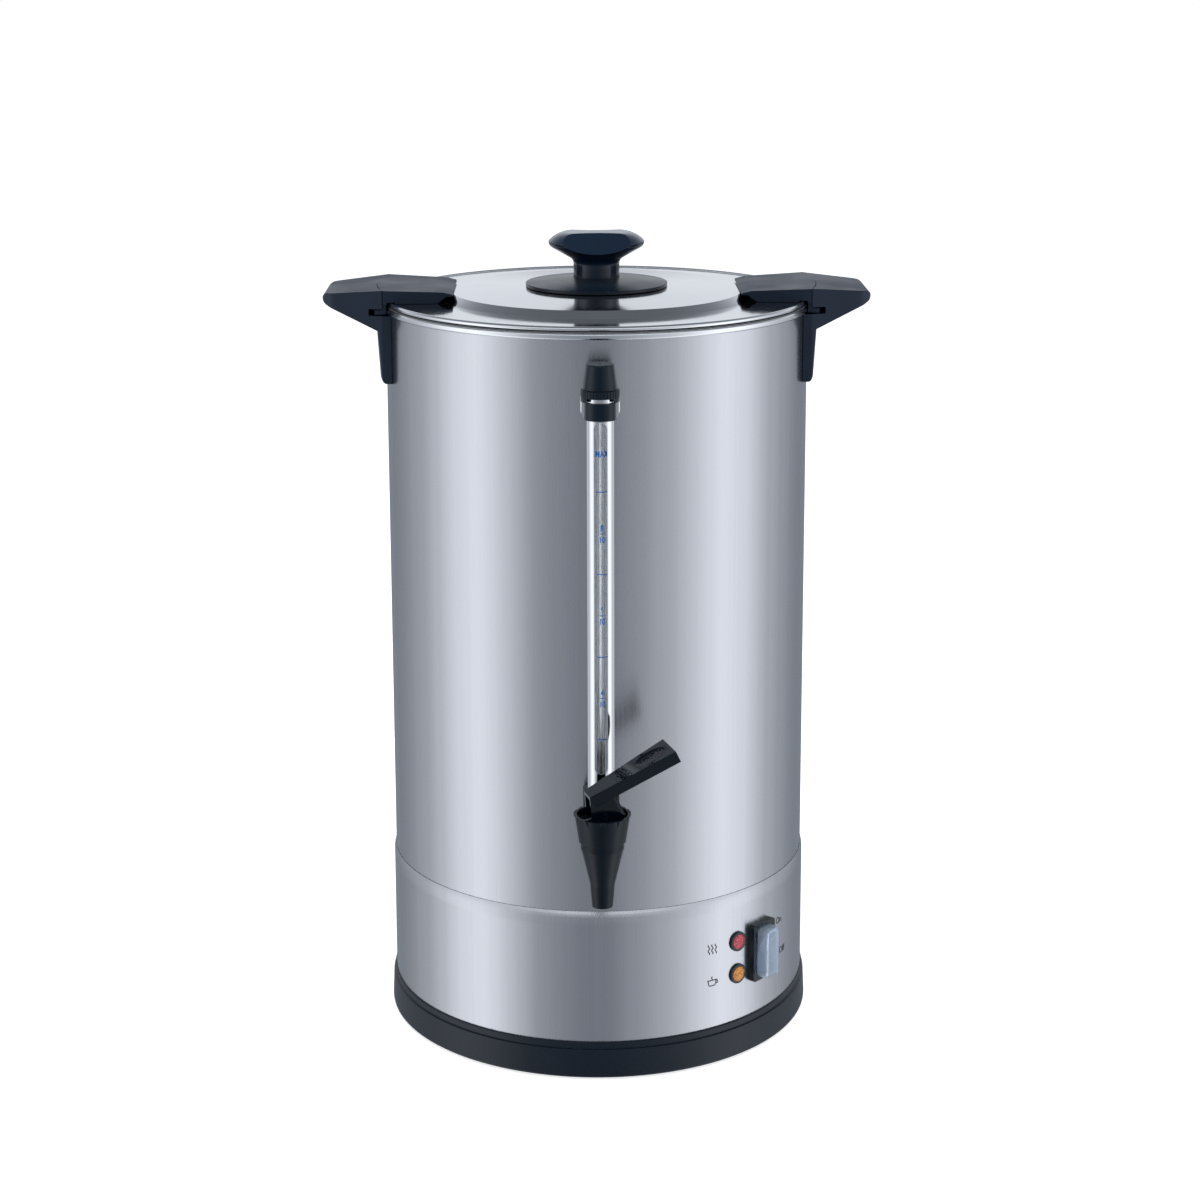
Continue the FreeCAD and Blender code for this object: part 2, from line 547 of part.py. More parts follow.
def cosine(angle):
    """Return the cosine of an angle in degrees."""
    angle = dim(angle)
    return call("cos", angle, math.cos(math.radians(angle.value)))


class Sheet:
    """The sizes, by name."""


sheet = doc.addObject("Spreadsheet::Sheet", "Sizes")
S = Sheet()
for row, (alias, number, note, *base) in enumerate(SIZES, 1):
    sheet.set("A%d" % row, alias)
    sheet.set("B%d" % row, "=%s + (%s)" % (base[0], number) if base else str(number))
    sheet.setAlias("B%d" % row, alias)
    sheet.set("C%d" % row, note)
    whole = getattr(S, base[0]).value + number if base else number
    setattr(S, alias, Dim(whole, "Sizes.%s" % alias))
doc.recompute()


def direction(start, end):
    """Return the unit vector from one corner to another."""
    across = end[0] - start[0]
    up = end[1] - start[1]
    if up.is_plain(0):
        return Dim(math.copysign(1, across.value)), Dim(0)
    if across.is_plain(0):
        return Dim(0), Dim(math.copysign(1, up.value))
    length = root(across * across + up * up)
    return across / length, up / length


def trace(corners):
    """Turn corners into points with the radius of the arc that follows each, or None for a straight line.

    A corner is (x, y), (x, y, rounding) or (x, y, None, radius of the arc to the next corner). Arcs turn left
    when the radius is positive.
    """
    points = []
    for index, corner in enumerate(corners):
        here = (dim(corner[0]), dim(corner[1]))
        rounding = corner[2] if len(corner) == 3 else None
        arc = dim(corner[3]) if len(corner) == 4 else None
        if rounding is None:
            points.append((here[0], here[1], arc))
            continue
        before = corners[index - 1]
        after = corners[(index + 1) % len(corners)]
        back = direction(here, (dim(before[0]), dim(before[1])))
        ahead = direction(here, (dim(after[0]), dim(after[1])))
        dot = back[0] * ahead[0] + back[1] * ahead[1]
        reach = dim(rounding) * root((1 + dot) / (1 - dot))
        turn = ahead[0].value * back[1].value - ahead[1].value * back[0].value
        bend = dim(rounding) if turn > 0 else -dim(rounding)
        points.append((here[0] + back[0] * reach, here[1] + back[1] * reach, bend))
        points.append((here[0] + ahead[0] * reach, here[1] + ahead[1] * reach, None))
    return points


def arc_between(start, end, radius):
    """Return the arc from start to end, and whether it is drawn the other way round."""
    chord = end - start
    half = chord.Length / 2
    left = Vector(-chord.y, chord.x, 0).normalize()
    rise = math.sqrt(max(radius * radius - half * half, 0))
    centre = (start + end) / 2 + left * math.copysign(rise, radius)
    first, last = (start, end) if radius > 0 else (end, start)
    angles = [math.atan2(point.y - centre.y, point.x - centre.x) for point in (first, last)]
    if angles[1] < angles[0]:
        angles[1] += 2 * math.pi
    circle = Part.Circle(centre, Vector(0, 0, 1), abs(radius))
    return Part.ArcOfCircle(circle, angles[0], angles[1]), radius < 0


def bind(target, path, size):
    """Let a property follow the spreadsheet."""
    size = dim(size)
    if not size.fixed:
        target.setExpression(path, size.text)


def pin(sketch, geometry, point, x, y):
    """Fix a point of a sketch at x, y."""
    for size, name, axis in ((x, "DistanceX", -2), (y, "DistanceY", -1)):
        if size.is_plain(0) or abs(size.value) < 1e-9:
            sketch.addConstraint(Sketcher.Constraint("PointOnObject", geometry, point, axis))
            continue
        number = sketch.addConstraint(Sketcher.Constraint(name, geometry, point, size.value))
        bind(sketch, "Constraints[%d]" % number, size)


def draw_circle(sketch, x, y, radius):
    """Draw one circle."""
    shape = Part.Circle(Vector(x.value, y.value, 0), Vector(0, 0, 1), radius.value)
    geometry = sketch.addGeometry(shape)
    pin(sketch, geometry, 3, x, y)
    number = sketch.addConstraint(Sketcher.Constraint("Radius", geometry, radius.value))
    bind(sketch, "Constraints[%d]" % number, radius)


def draw_loop(sketch, corners):
    """Draw one closed outline."""
    points = trace(corners)
    spots = [Vector(point[0].value, point[1].value, 0) for point in points]
    edges = []
    for index, (x, y, radius) in enumerate(points):
        start = spots[index]
        end = spots[(index + 1) % len(points)]
        if radius is None:
            edges.append((sketch.addGeometry(Part.LineSegment(start, end)), 1, 2))
            continue
        arc, swapped = arc_between(start, end, radius.value)
        geometry = sketch.addGeometry(arc)
        edges.append((geometry, 2, 1) if swapped else (geometry, 1, 2))
    for index, (x, y, radius) in enumerate(points):
        geometry, first, last = edges[index]
        other, other_first, other_last = edges[index - 1]
        sketch.addConstraint(Sketcher.Constraint("Coincident", other, other_last, geometry, first))
        pin(sketch, geometry, first, x, y)
    for index, (x, y, radius) in enumerate(points):
        if radius is not None:
            size = radius if radius.value > 0 else -radius
            number = sketch.addConstraint(Sketcher.Constraint("Radius", edges[index][0], size.value))
            bind(sketch, "Constraints[%d]" % number, size)


class Ring:
    """A circle in a sketch."""

    def __init__(self, x, y, radius):
        self.x = dim(x)
        self.y = dim(y)
        self.radius = dim(radius)


def slab(x0, y0, x1, y1, rounding=None):
    """Return the corners of a rectangle."""
    spots = [(x0, y0), (x1, y0), (x1, y1), (x0, y1)]
    if rounding is None:
        return spots
    return [(x, y, rounding) for x, y in spots]


def hexagon(flats):
    """Return the corners of a hexagon about the origin."""
    reach = flats / math.sqrt(3)
    return [(reach * math.cos(math.radians(60 * k)), reach * math.sin(math.radians(60 * k))) for k in range(6)]


class Piece:
    """One named body and the features that shape it."""

    def __init__(self, name):
        self.name = name
        self.body = doc.addObject("PartDesign::Body", name)
        self.body.Label = name
        self.count = 0

    def feature(self, kind, title):
        """Add a feature to the body."""
        self.count += 1
        return self.body.newObject(kind, "%s_%s_%d" % (self.name, title, self.count))

    def sketch(self, loops, plane, level=0, turn=0, shift=0):
        """Draw outlines on one of the body's planes."""
        sketch = self.feature("Sketcher::SketchObject", "outline")
        role = [item for item in self.body.Origin.OriginFeatures if item.Role == plane + "_Plane"][0]
        sketch.AttachmentSupport = (role, [""])
        sketch.MapMode = "FlatFace"
        level = dim(level)
        turn = dim(turn)
        shift = dim(shift)
        offset = Vector(shift.value, 0, level.value)
        sketch.AttachmentOffset = Placement(offset, Rotation(Vector(0, 1, 0), turn.value))
        bind(sketch, "AttachmentOffset.Base.x", shift)
        bind(sketch, "AttachmentOffset.Base.z", level)
        for loop in loops:
            if isinstance(loop, Ring):
                draw_circle(sketch, loop.x, loop.y, loop.radius)
            else:
                draw_loop(sketch, loop)
        return sketch

    def spin(self, *loops, angle=360, cut=False, shift=0):
        """Turn outlines about the upright axis, to add or to cut."""
        sketch = self.sketch(loops, "XZ", shift=shift)
        name = "Groove" if cut else "Revolution"
        result = self.feature("PartDesign::" + name, name.lower())
        result.Profile = sketch
        result.ReferenceAxis = (sketch, ["V_Axis"])
        angle = dim(angle)
        result.Angle = angle.value
        bind(result, "Angle", angle)
        if angle.value < 360:
            result.Midplane = True
        return result

    def push(self, kind, loops, plane, level, length, middle, back, turn):
        """Add a pad or a pocket."""
        sketch = self.sketch(loops, plane, level, turn)
        result = self.feature("PartDesign::" + kind, kind.lower())
        result.Profile = sketch
        if length is None:
            result.Type = "ThroughAll"
        else:
            length = dim(length)
            result.Length = length.value
            bind(result, "Length", length)
        if middle:
            result.SideType = "Symmetric"
        result.Reversed = back if kind == "Pad" else not back
        return result

    def pad(self, *loops, plane="XY", level=0, length=None, middle=False, back=False, turn=0):
        """Add material along the plane's normal."""
        return self.push("Pad", loops, plane, level, length, middle, back, turn)

    def cut(self, *loops, plane="XY", level=0, length=None, middle=False, back=False, turn=0):
        """Cut material along the plane's normal."""
        return self.push("Pocket", loops, plane, level, length, middle, back, turn)

    def loft(self, start, end, plane, start_level, end_level, cut=False):
        """Add or cut a straight loft between two outlines."""
        first = self.sketch([start], plane, start_level)
        second = self.sketch([end], plane, end_level)
        name = "SubtractiveLoft" if cut else "AdditiveLoft"
        result = self.feature("PartDesign::" + name, "loft")
        result.Profile = first
        result.Sections = [second]
        result.Ruled = True
        return result

    def around(self, features, count):
        """Repeat features evenly about the body's upright axis."""
        count = dim(count)
        result = self.feature("PartDesign::PolarPattern", "pattern")
        result.Originals = features
        axis = [item for item in self.body.Origin.OriginFeatures if item.Role == "Z_Axis"][0]
        result.Axis = (axis, [""])
        result.Angle = 360
        result.Occurrences = int(count.value)
        bind(result, "Occurrences", count)
        self.body.Tip = result
        return result

    def soften(self, radius, choose):
        """Round the edges that a test picks out."""
        doc.recompute()
        radius = dim(radius)
        tip = self.body.Tip
        names = ["Edge%d" % n for n, edge in enumerate(tip.Shape.Edges, 1) if choose(edge)]
        if not names:
            return None
        result = self.feature("PartDesign::Fillet", "fillet")
        result.Base = (tip, names)
        result.Radius = radius.value
        bind(result, "Radius", radius)
        return result

    def place(self, x=0, y=0, z=0, turn=0, rotation=None):
        """Move the body to x, y, z, turned about the upright axis."""
        spot = [dim(x), dim(y), dim(z)]
        turning = Rotation(Vector(0, 0, 1), dim(turn).value)
        if rotation is not None:
            turning = turning * rotation
        self.body.Placement = Placement(Vector(*[size.value for size in spot]), turning)
        for axis, size in zip("xyz", spot):
            bind(self.body, "Placement.Base." + axis, size)
        return self

    def aim(self, azimuth, height):
        """Point the body's upright axis outward at an azimuth, so that its z is the distance from the urn's axis."""
        return self.place(z=height, turn=azimuth, rotation=Rotation(Vector(1, 0, 0), 90))


NODES = []


def keep(piece):
    """List a body as a named piece of the urn."""
    NODES.append(piece.body)
    return piece


def solid_node(name, shape, placement=None):
    """Make a piece from a ready shape, where neither sketches nor primitives fit."""
    node = doc.addObject("Part::Feature", name)
    node.Label = name
    node.Shape = shape
    node.Placement = placement or Placement()
    NODES.append(node)
    return node


def group(name, sets):
    """Make one node of copies of bodies, from pairs of a body and the placements of its copies."""
    doc.recompute()
    copies = []
    for sample, placements in sets:
        shape = sample.body.Shape
        for placement in placements:
            single = shape.copy()
            single.Placement = placement.multiply(shape.Placement)
            copies.append(single)
    return solid_node(name, Part.makeCompound(copies))


def turned(azimuth, base=Vector(0, 0, 0)):
    """Return a placement turned about the upright axis."""
    return Placement(base, Rotation(Vector(0, 0, 1), azimuth))


OUTWARD = Rotation(Vector(1, 0, 0), 90)


def aimed(azimuth, height):
    """Return the placement that points a local z axis outward."""
    return Placement(Vector(0, 0, height), Rotation(Vector(0, 0, 1), azimuth) * OUTWARD)


def tube(edges, radius):
    """Sweep a round bar along smooth edges."""
    path = Part.Wire(edges)
    start = path.OrderedVertexes[0].Point
    edge = path.OrderedEdges[0]
    tangent = edge.tangentAt(edge.FirstParameter)
    profile = Part.Wire([Part.makeCircle(radius, start, tangent)])
    return path.makePipeShell([profile], True, True)


def bent(points, radius, bend):
    """Sweep a round bar along straight lines with rounded bends."""
    edges = []
    start = points[0]
    for before, corner, after in zip(points, points[1:], points[2:]):
        back = (before - corner).normalize()
        ahead = (after - corner).normalize()
        half = back.getAngle(ahead) / 2
        reach = bend / math.tan(half)
        first = corner + back * reach
        last = corner + ahead * reach
        middle = corner + (back + ahead).normalize() * (bend / math.sin(half) - bend)
        edges.append(Part.makeLine(start, first))
        edges.append(Part.Arc(first, middle, last).toShape())
        start = last
    edges.append(Part.makeLine(start, points[-1]))
    return tube(edges, radius)


# Drum
SHELL_INNER = S.body_radius - S.shell_wall
RIM_OUT = S.rim_width / 2
RIM_IN = RIM_OUT - S.shell_wall
RIM_X = SHELL_INNER + RIM_OUT
RIM_HIGH = S.rim_top - RIM_OUT
RIM_LOW = S.rim_top - S.rim_height + RIM_OUT
HANDLE_SIDES = (90, 270)
HANDLE_HOLES = [side + sign * S.handle_screw_angle for side in HANDLE_SIDES for sign in (-1, 1)]

tank_shell = keep(Piece("tank_shell"))
tank_shell.spin([
    (SHELL_INNER, S.shell_foot),
    (S.body_radius, S.shell_foot),
    (S.body_radius, RIM_HIGH, None, -RIM_IN),
    (RIM_X, RIM_HIGH + RIM_IN, None, -RIM_IN),
    (RIM_X + RIM_IN, RIM_HIGH),
    (RIM_X + RIM_IN, RIM_LOW, None, -RIM_IN),
    (RIM_X, RIM_LOW - RIM_IN),
    (RIM_X, RIM_LOW - RIM_OUT, None, RIM_OUT),
    (RIM_X + RIM_OUT, RIM_LOW),
    (RIM_X + RIM_OUT, RIM_HIGH, None, RIM_OUT),
    (RIM_X, RIM_HIGH + RIM_OUT, None, RIM_OUT),
    (SHELL_INNER, RIM_HIGH),
])
for azimuth in HANDLE_HOLES:
    hole = Ring(0, S.handle_screw_height, S.handle_screw_radius + S.screw_gap)
    tank_shell.cut(hole, plane="XZ", turn=azimuth)
tank_shell.cut(
    Ring(0, S.gauge_bolt_height, S.gauge_bolt_radius + S.screw_gap),
    Ring(0, S.shank_height, S.shank_radius + S.screw_gap),
    plane="XZ",
)

FLOOR_UNDER = S.floor_top - S.floor_thick
FLOOR_EDGE = SHELL_INNER - S.seat_gap
tank_floor = keep(Piece("tank_floor"))
tank_floor.spin([
    (0, FLOOR_UNDER),
    (FLOOR_EDGE - S.floor_thick, FLOOR_UNDER, S.floor_bend - S.floor_thick),
    (FLOOR_EDGE - S.floor_thick, S.floor_top - S.floor_flange),
    (FLOOR_EDGE, S.floor_top - S.floor_flange),
    (FLOOR_EDGE, S.floor_top, S.floor_bend),
    (0, S.floor_top),
])
tank_floor.pad(
    Ring(S.clamp_stud_reach, 0, S.clamp_stud_radius),
    Ring(-S.clamp_stud_reach, 0, S.clamp_stud_radius),
    level=FLOOR_UNDER, length=S.clamp_stud_length, back=True,
)
BRACKET_STUDS = [
    (-S.bracket_reach * cosine(S.bracket_stud_angle), sign * S.bracket_reach * sine(S.bracket_stud_angle))
    for sign in (-1, 1)
]
tank_floor.pad(
    *[Ring(x, y, S.bracket_stud_radius) for x, y in BRACKET_STUDS],
    level=FLOOR_UNDER, length=S.bracket_stud_length, back=True,
)
tank_floor.pad(Ring(0, 0, S.tie_stud_radius), level=FLOOR_UNDER, length=S.tie_stud_length, back=True)

# Lower housing
HOUSING_INNER = S.housing_radius - S.housing_wall
lower_housing = keep(Piece("lower_housing"))
lower_housing.spin([
    (HOUSING_INNER, S.housing_foot),
    (S.housing_radius, S.housing_foot),
    (S.housing_radius, S.housing_shoulder, None, S.housing_turn),
    (HOUSING_INNER + S.housing_lip, S.housing_top),
    (HOUSING_INNER, S.housing_top),
])
for height in (S.heating_lamp_height, S.warm_lamp_height):
    lower_housing.cut(Ring(0, height, S.lamp_barrel_radius + S.slip_gap), plane="XZ", turn=S.lamp_azimuth)
lower_housing.cut(
    slab(
        -S.switch_body_half - S.seat_gap, S.switch_height - S.switch_body_rise - S.seat_gap,
        S.switch_body_half + S.seat_gap, S.switch_height + S.switch_body_rise + S.seat_gap,
    ),
    plane="XZ", turn=S.switch_azimuth,
)
lower_housing.cut(
    slab(
        -S.inlet_body_half - S.seat_gap, S.inlet_height - S.inlet_body_rise - S.seat_gap,
        S.inlet_body_half + S.seat_gap, S.inlet_height + S.inlet_body_rise + S.seat_gap,
    ),
    Ring(S.inlet_hole_spread, S.inlet_height, S.inlet_screw_radius + S.slip_gap),
    Ring(-S.inlet_hole_spread, S.inlet_height, S.inlet_screw_radius + S.slip_gap),
    plane="XZ", turn=180,
)

# Base ring, feet and cover
base_ring = keep(Piece("base_ring"))
CHANNEL_IN = HOUSING_INNER - S.seat_gap
CHANNEL_OUT = S.housing_radius + S.seat_gap
CHANNEL_FOOT = S.housing_foot - S.seat_gap
base_ring.spin([
    (S.flange_radius, S.flange_bottom),
    (S.ring_skirt_radius, S.flange_bottom),
    (S.ring_skirt_radius, S.ring_foot),
    (S.ring_low_radius, S.ring_foot, S.ring_edge),
    (S.ring_low_radius, S.ring_low_height),
    (S.ring_high_radius, S.ring_shoulder),
    (S.ring_lip_radius, S.ring_shoulder + S.ring_step),
    (S.ring_lip_radius, S.ring_top, S.lip_edge),
    (CHANNEL_OUT, S.ring_top),
    (CHANNEL_OUT, CHANNEL_FOOT),
    (CHANNEL_IN, CHANNEL_FOOT),
    (CHANNEL_IN, S.ring_inner_top),
    (S.ring_inner_radius, S.ring_inner_top),
    (S.ring_inner_radius, S.flange_top),
    (S.flange_radius, S.flange_top),
])
FOOT_SPOTS = []
for quarter in range(4):
    angle = 45 + 90 * quarter
    FOOT_SPOTS.append((S.foot_reach * math.cos(math.radians(angle)), S.foot_reach * math.sin(math.radians(angle))))
base_ring.cut(
    *[Ring(x, y, S.foot_screw_radius + S.screw_gap) for x, y in FOOT_SPOTS],
    level=S.flange_bottom - 1, length=S.flange_top - S.flange_bottom + 2,
)

FOOT_TOP = S.flange_bottom - S.seat_gap
foot = Piece("foot")
foot.spin([
    (S.foot_recess, 0),
    (S.foot_radius, 0, S.foot_edge),
    (S.foot_top_radius, FOOT_TOP),
    (S.foot_screw_radius + S.screw_gap, FOOT_TOP),
    (S.foot_screw_radius + S.screw_gap, S.foot_recess_depth),
    (S.foot_recess, S.foot_recess_depth),
])
FOOT_PLACES = [Placement(Vector(x.value, y.value, 0), Rotation()) for x, y in FOOT_SPOTS]
group("feet", [(foot, FOOT_PLACES)])

FOOT_HEAD_TOP = S.foot_recess_depth - S.seat_gap
foot_screw = Piece("foot_screw")
foot_screw.spin([
    (0, FOOT_HEAD_TOP - S.foot_head_height),
    (S.foot_head_radius, FOOT_HEAD_TOP - S.foot_head_height, S.foot_edge / 2),
    (S.foot_head_radius, FOOT_HEAD_TOP),
    (S.foot_screw_radius, FOOT_HEAD_TOP),
    (S.foot_screw_radius, S.foot_screw_top),
    (0, S.foot_screw_top),
])

COVER_BOTTOM = S.flange_top + S.seat_gap
COVER_TOP = COVER_BOTTOM + S.cover_thick
CONTROL_SPOTS = [
    (S.cutout_x - S.cutout_screw_spread, S.cutout_y),
    (S.cutout_x + S.cutout_screw_spread, S.cutout_y),
    (S.block_x - S.block_screw_spread, S.block_y),
    (S.block_x + S.block_screw_spread, S.block_y),
]
base_cover = keep(Piece("base_cover"))
base_cover.pad(Ring(0, 0, S.cover_radius), level=COVER_BOTTOM, length=S.cover_thick)
base_cover.pad(*[Ring(x, y, S.collar_radius) for x, y in FOOT_SPOTS], level=COVER_TOP, length=S.collar_height)
base_cover.cut(
    *[Ring(x, y, S.foot_screw_radius + S.slip_gap) for x, y in FOOT_SPOTS],
    *[Ring(x, y, S.control_screw_radius + S.screw_gap) for x, y in CONTROL_SPOTS],
    Ring(0, 0, S.tie_stud_radius + S.screw_gap),
    Ring(S.cutout_x, S.cutout_y, S.bushing_radius + S.screw_gap),
    level=COVER_BOTTOM - 1, length=S.cover_thick + S.collar_height + 2,
)
vent = base_cover.cut(
    slab(S.vent_inner, -S.vent_half, S.vent_outer, S.vent_half, S.vent_half * 0.9),
    level=COVER_BOTTOM - 1, length=S.cover_thick + 2,
)
base_cover.around([vent], S.vent_count)

# Tie rod between the floor's middle stud and the cover
TIE_TOP = FLOOR_UNDER - S.tie_stud_length + S.tie_thread_depth - 2
TIE_FOOT = COVER_TOP + S.seat_gap
tie_rod = keep(Piece("tie_rod"))
tie_rod.pad(hexagon(S.tie_flats), level=TIE_FOOT, length=TIE_TOP - TIE_FOOT)
tie_rod.cut(
    Ring(0, 0, S.tie_stud_radius + S.slip_gap), level=TIE_TOP, length=S.tie_thread_depth, back=True,
)
tie_rod.cut(Ring(0, 0, S.tie_stud_radius + S.slip_gap), level=TIE_FOOT, length=S.tie_thread_depth)

TIE_HEAD_TOP = COVER_BOTTOM - S.seat_gap
tie_bolt = Piece("tie_bolt")
tie_bolt.spin([
    (0, TIE_HEAD_TOP - S.tie_bolt_head_height),
    (S.tie_bolt_head, TIE_HEAD_TOP - S.tie_bolt_head_height, S.tie_bolt_head_height / 2),
    (S.tie_bolt_head, TIE_HEAD_TOP),
    (S.tie_stud_radius, TIE_HEAD_TOP),
    (S.tie_stud_radius, COVER_TOP + S.tie_bolt_reach),
    (0, COVER_TOP + S.tie_bolt_reach),
])

# Heater under the floor
PLATE_TOP = FLOOR_UNDER - S.seat_gap
PLATE_FOOT = PLATE_TOP - S.plate_thick
heater_plate = keep(Piece("heater_plate"))
heater_plate.pad(
    Ring(0, 0, S.plate_radius), Ring(0, 0, S.plate_hole), level=PLATE_FOOT, length=S.plate_thick,
)


def element(ring, radius, height):
    """Return a ring-shaped tube with both ends bent down, open towards the back."""
    bend = S.element_bend.value
    tail = S.element_tail.value
    half = math.radians(S.element_gap_angle.value / 2)
    ends = []
    for sign in (1, -1):
        angle = math.pi / 2 - sign * half
        spot = Vector(ring * math.cos(angle), ring * math.sin(angle), height)
        along = Vector(-math.sin(angle), math.cos(angle), 0) * sign
        middle = spot + along * bend * math.sin(math.pi / 4) - Vector(0, 0, bend * (1 - math.cos(math.pi / 4)))
        low = spot + along * bend - Vector(0, 0, bend)
        ends.append((spot, middle, low, low - Vector(0, 0, tail)))
    front = Vector(0, -ring, height)
    first, second = ends
    edges = [
        Part.makeLine(first[3], first[2]),
        Part.Arc(first[2], first[1], first[0]).toShape(),
        Part.Arc(first[0], front, second[0]).toShape(),
        Part.Arc(second[0], second[1], second[2]).toShape(),
        Part.makeLine(second[2], second[3]),
    ]
    return tube(edges, radius)


MAIN_HEIGHT = (PLATE_FOOT - S.seat_gap - S.main_tube).value
WARM_HEIGHT = (PLATE_FOOT - S.seat_gap - S.warm_tube).value
solid_node("heating_element", element(S.main_ring.value, S.main_tube.value, MAIN_HEIGHT))
solid_node("keep_warm_element", element(S.warm_ring.value, S.warm_tube.value, WARM_HEIGHT))

STRAP_TOP = PLATE_FOOT - S.seat_gap * 2 - S.main_tube * 2
STRAP_FOOT = STRAP_TOP - S.strap_thick
clamp_strap = keep(Piece("clamp_strap"))
clamp_strap.pad(
    slab(-S.strap_half_length, -S.strap_half_width, S.strap_half_length, S.strap_half_width, S.strap_thick),
    Ring(S.clamp_stud_reach, 0, S.clamp_stud_radius + S.screw_gap),
    Ring(-S.clamp_stud_reach, 0, S.clamp_stud_radius + S.screw_gap),
    Ring(0, 0, S.plate_hole),
    level=STRAP_FOOT, length=S.strap_thick,
)


def nut(name, flats, height, radius):
    """Return a hexagon nut standing on the origin, not yet listed as a piece."""
    piece = Piece(name)
    piece.pad(hexagon(flats), Ring(0, 0, radius), length=height)
    return piece


clamp_nut = nut("clamp_nut", S.clamp_nut_flats, S.clamp_nut_height, S.clamp_stud_radius + S.slip_gap)
CLAMP_NUT_Z = (STRAP_FOOT - S.seat_gap - S.clamp_nut_height).value
CLAMP_X = S.clamp_stud_reach.value

# Thermostats on their bracket, on the left under the floor
BRACKET_FOOT = S.bracket_top - S.bracket_thick


def on_bracket(angle):
    """Return the spot on the bracket's middle line at an angle from its middle."""
    return -S.bracket_reach * cosine(angle), S.bracket_reach * sine(angle)


BOIL_X, BOIL_Y = on_bracket(-S.boil_angle)
WARM_X, WARM_Y = on_bracket(-S.warm_angle)
bracket = keep(Piece("thermostat_bracket"))
bracket.spin(
    [
        (S.bracket_inner, BRACKET_FOOT),
        (S.bracket_outer, BRACKET_FOOT),
        (S.bracket_outer, S.bracket_top),
        (S.bracket_inner, S.bracket_top),
    ],
    angle=S.bracket_angle,
)
BULB_COS = cosine(S.bulb_angle)
BULB_SIN = sine(S.bulb_angle)
BRACKET_SPOTS = [(-x, -y) for x, y in BRACKET_STUDS]
CAPILLARY_X = -S.capillary_reach * cosine(S.capillary_angle)
CAPILLARY_Y = S.capillary_reach * sine(S.capillary_angle)
bracket.cut(
    Ring(-CAPILLARY_X, -CAPILLARY_Y, S.capillary_hole),
    Ring(-BOIL_X, -BOIL_Y, S.thermostat_hole),
    Ring(-WARM_X, -WARM_Y, S.thermostat_hole),
    *[Ring(x, y, S.bracket_stud_radius + S.screw_gap) for x, y in BRACKET_SPOTS],
    level=BRACKET_FOOT - 1, length=S.bracket_thick + 2,
)
BULB_X = S.bracket_reach * BULB_COS
BULB_Y = S.bracket_reach * BULB_SIN
bracket.pad(
    slab(BULB_X - S.saddle_half, -BULB_Y - S.saddle_half, BULB_X + S.saddle_half, -BULB_Y + S.saddle_half, 1),
    level=BRACKET_FOOT, length=S.saddle_height + S.bracket_thick,
)
bracket.place(turn=180)

bracket_nut = nut("bracket_nut", S.bracket_nut_flats, S.bracket_nut_height, S.bracket_stud_radius + S.slip_gap)
BRACKET_NUT_Z = (BRACKET_FOOT - S.seat_gap - S.bracket_nut_height).value
group("floor_nuts", [
    (clamp_nut, [turned(0, Vector(x, 0, CLAMP_NUT_Z)) for x in (-CLAMP_X, CLAMP_X)]),
    (bracket_nut, [turned(0, Vector(x.value, y.value, BRACKET_NUT_Z)) for x, y in BRACKET_STUDS]),
])

THERMOSTAT_FOOT = S.bracket_top + S.seat_gap
for name, x, y in (("boil_thermostat", BOIL_X, BOIL_Y), ("warm_thermostat", WARM_X, WARM_Y)):
    thermostat = keep(Piece(name))
    thermostat.spin([
        (0, THERMOSTAT_FOOT),
        (S.thermostat_radius, THERMOSTAT_FOOT),
        (S.thermostat_radius, S.thermostat_body_top),
        (S.thermostat_flange, S.thermostat_body_top),
        (S.thermostat_flange, S.thermostat_body_top + S.shell_wall),
        (S.thermostat_cap_radius, S.thermostat_body_top + S.shell_wall),
        (S.thermostat_cap_radius, PLATE_TOP, S.shell_wall),
        (0, PLATE_TOP),
    ])
    blades = [
        slab(
            -S.blade_half_width, side * S.blade_offset - S.blade_half_thick,
            S.blade_half_width, side * S.blade_offset + S.blade_half_thick,
        )
        for side in (-1, 1)
    ]
    thermostat.pad(*blades, level=THERMOSTAT_FOOT + 1, length=S.blade_length + 1, back=True)
    thermostat.place(x=x, y=y)

# Cut-out on the cover, with its bulb on the bracket
DECK = COVER_TOP + S.seat_gap
BUSHING_FOOT = COVER_BOTTOM - S.bushing_drop
CUTOUT_TOP = DECK + S.cutout_height
cutout = keep(Piece("thermal_cutout"))
cutout.pad(
    slab(
        -S.cutout_half_width, -S.cutout_half_depth, S.cutout_half_width, S.cutout_half_depth, 2,
    ),
    level=DECK, length=S.cutout_height,
)
cutout.pad(Ring(0, 0, S.bushing_radius), level=BUSHING_FOOT, length=DECK - BUSHING_FOOT + 1)
cutout.cut(Ring(0, 0, S.button_radius + S.slip_gap), level=BUSHING_FOOT, length=S.button_bore_top - BUSHING_FOOT)
cutout.cut(
    Ring(-S.cutout_screw_spread, 0, S.control_screw_radius + S.slip_gap),
    Ring(S.cutout_screw_spread, 0, S.control_screw_radius + S.slip_gap),
    level=DECK, length=S.control_screw_reach + 1,
)
cutout.place(x=S.cutout_x, y=S.cutout_y)

reset_button = keep(Piece("reset_button"))
reset_button.spin([
    (0, BUSHING_FOOT - S.button_drop),
    (S.button_radius, BUSHING_FOOT - S.button_drop, S.stem_edge),
    (S.button_radius, S.button_top),
    (0, S.button_top),
])
reset_button.place(x=S.cutout_x, y=S.cutout_y)

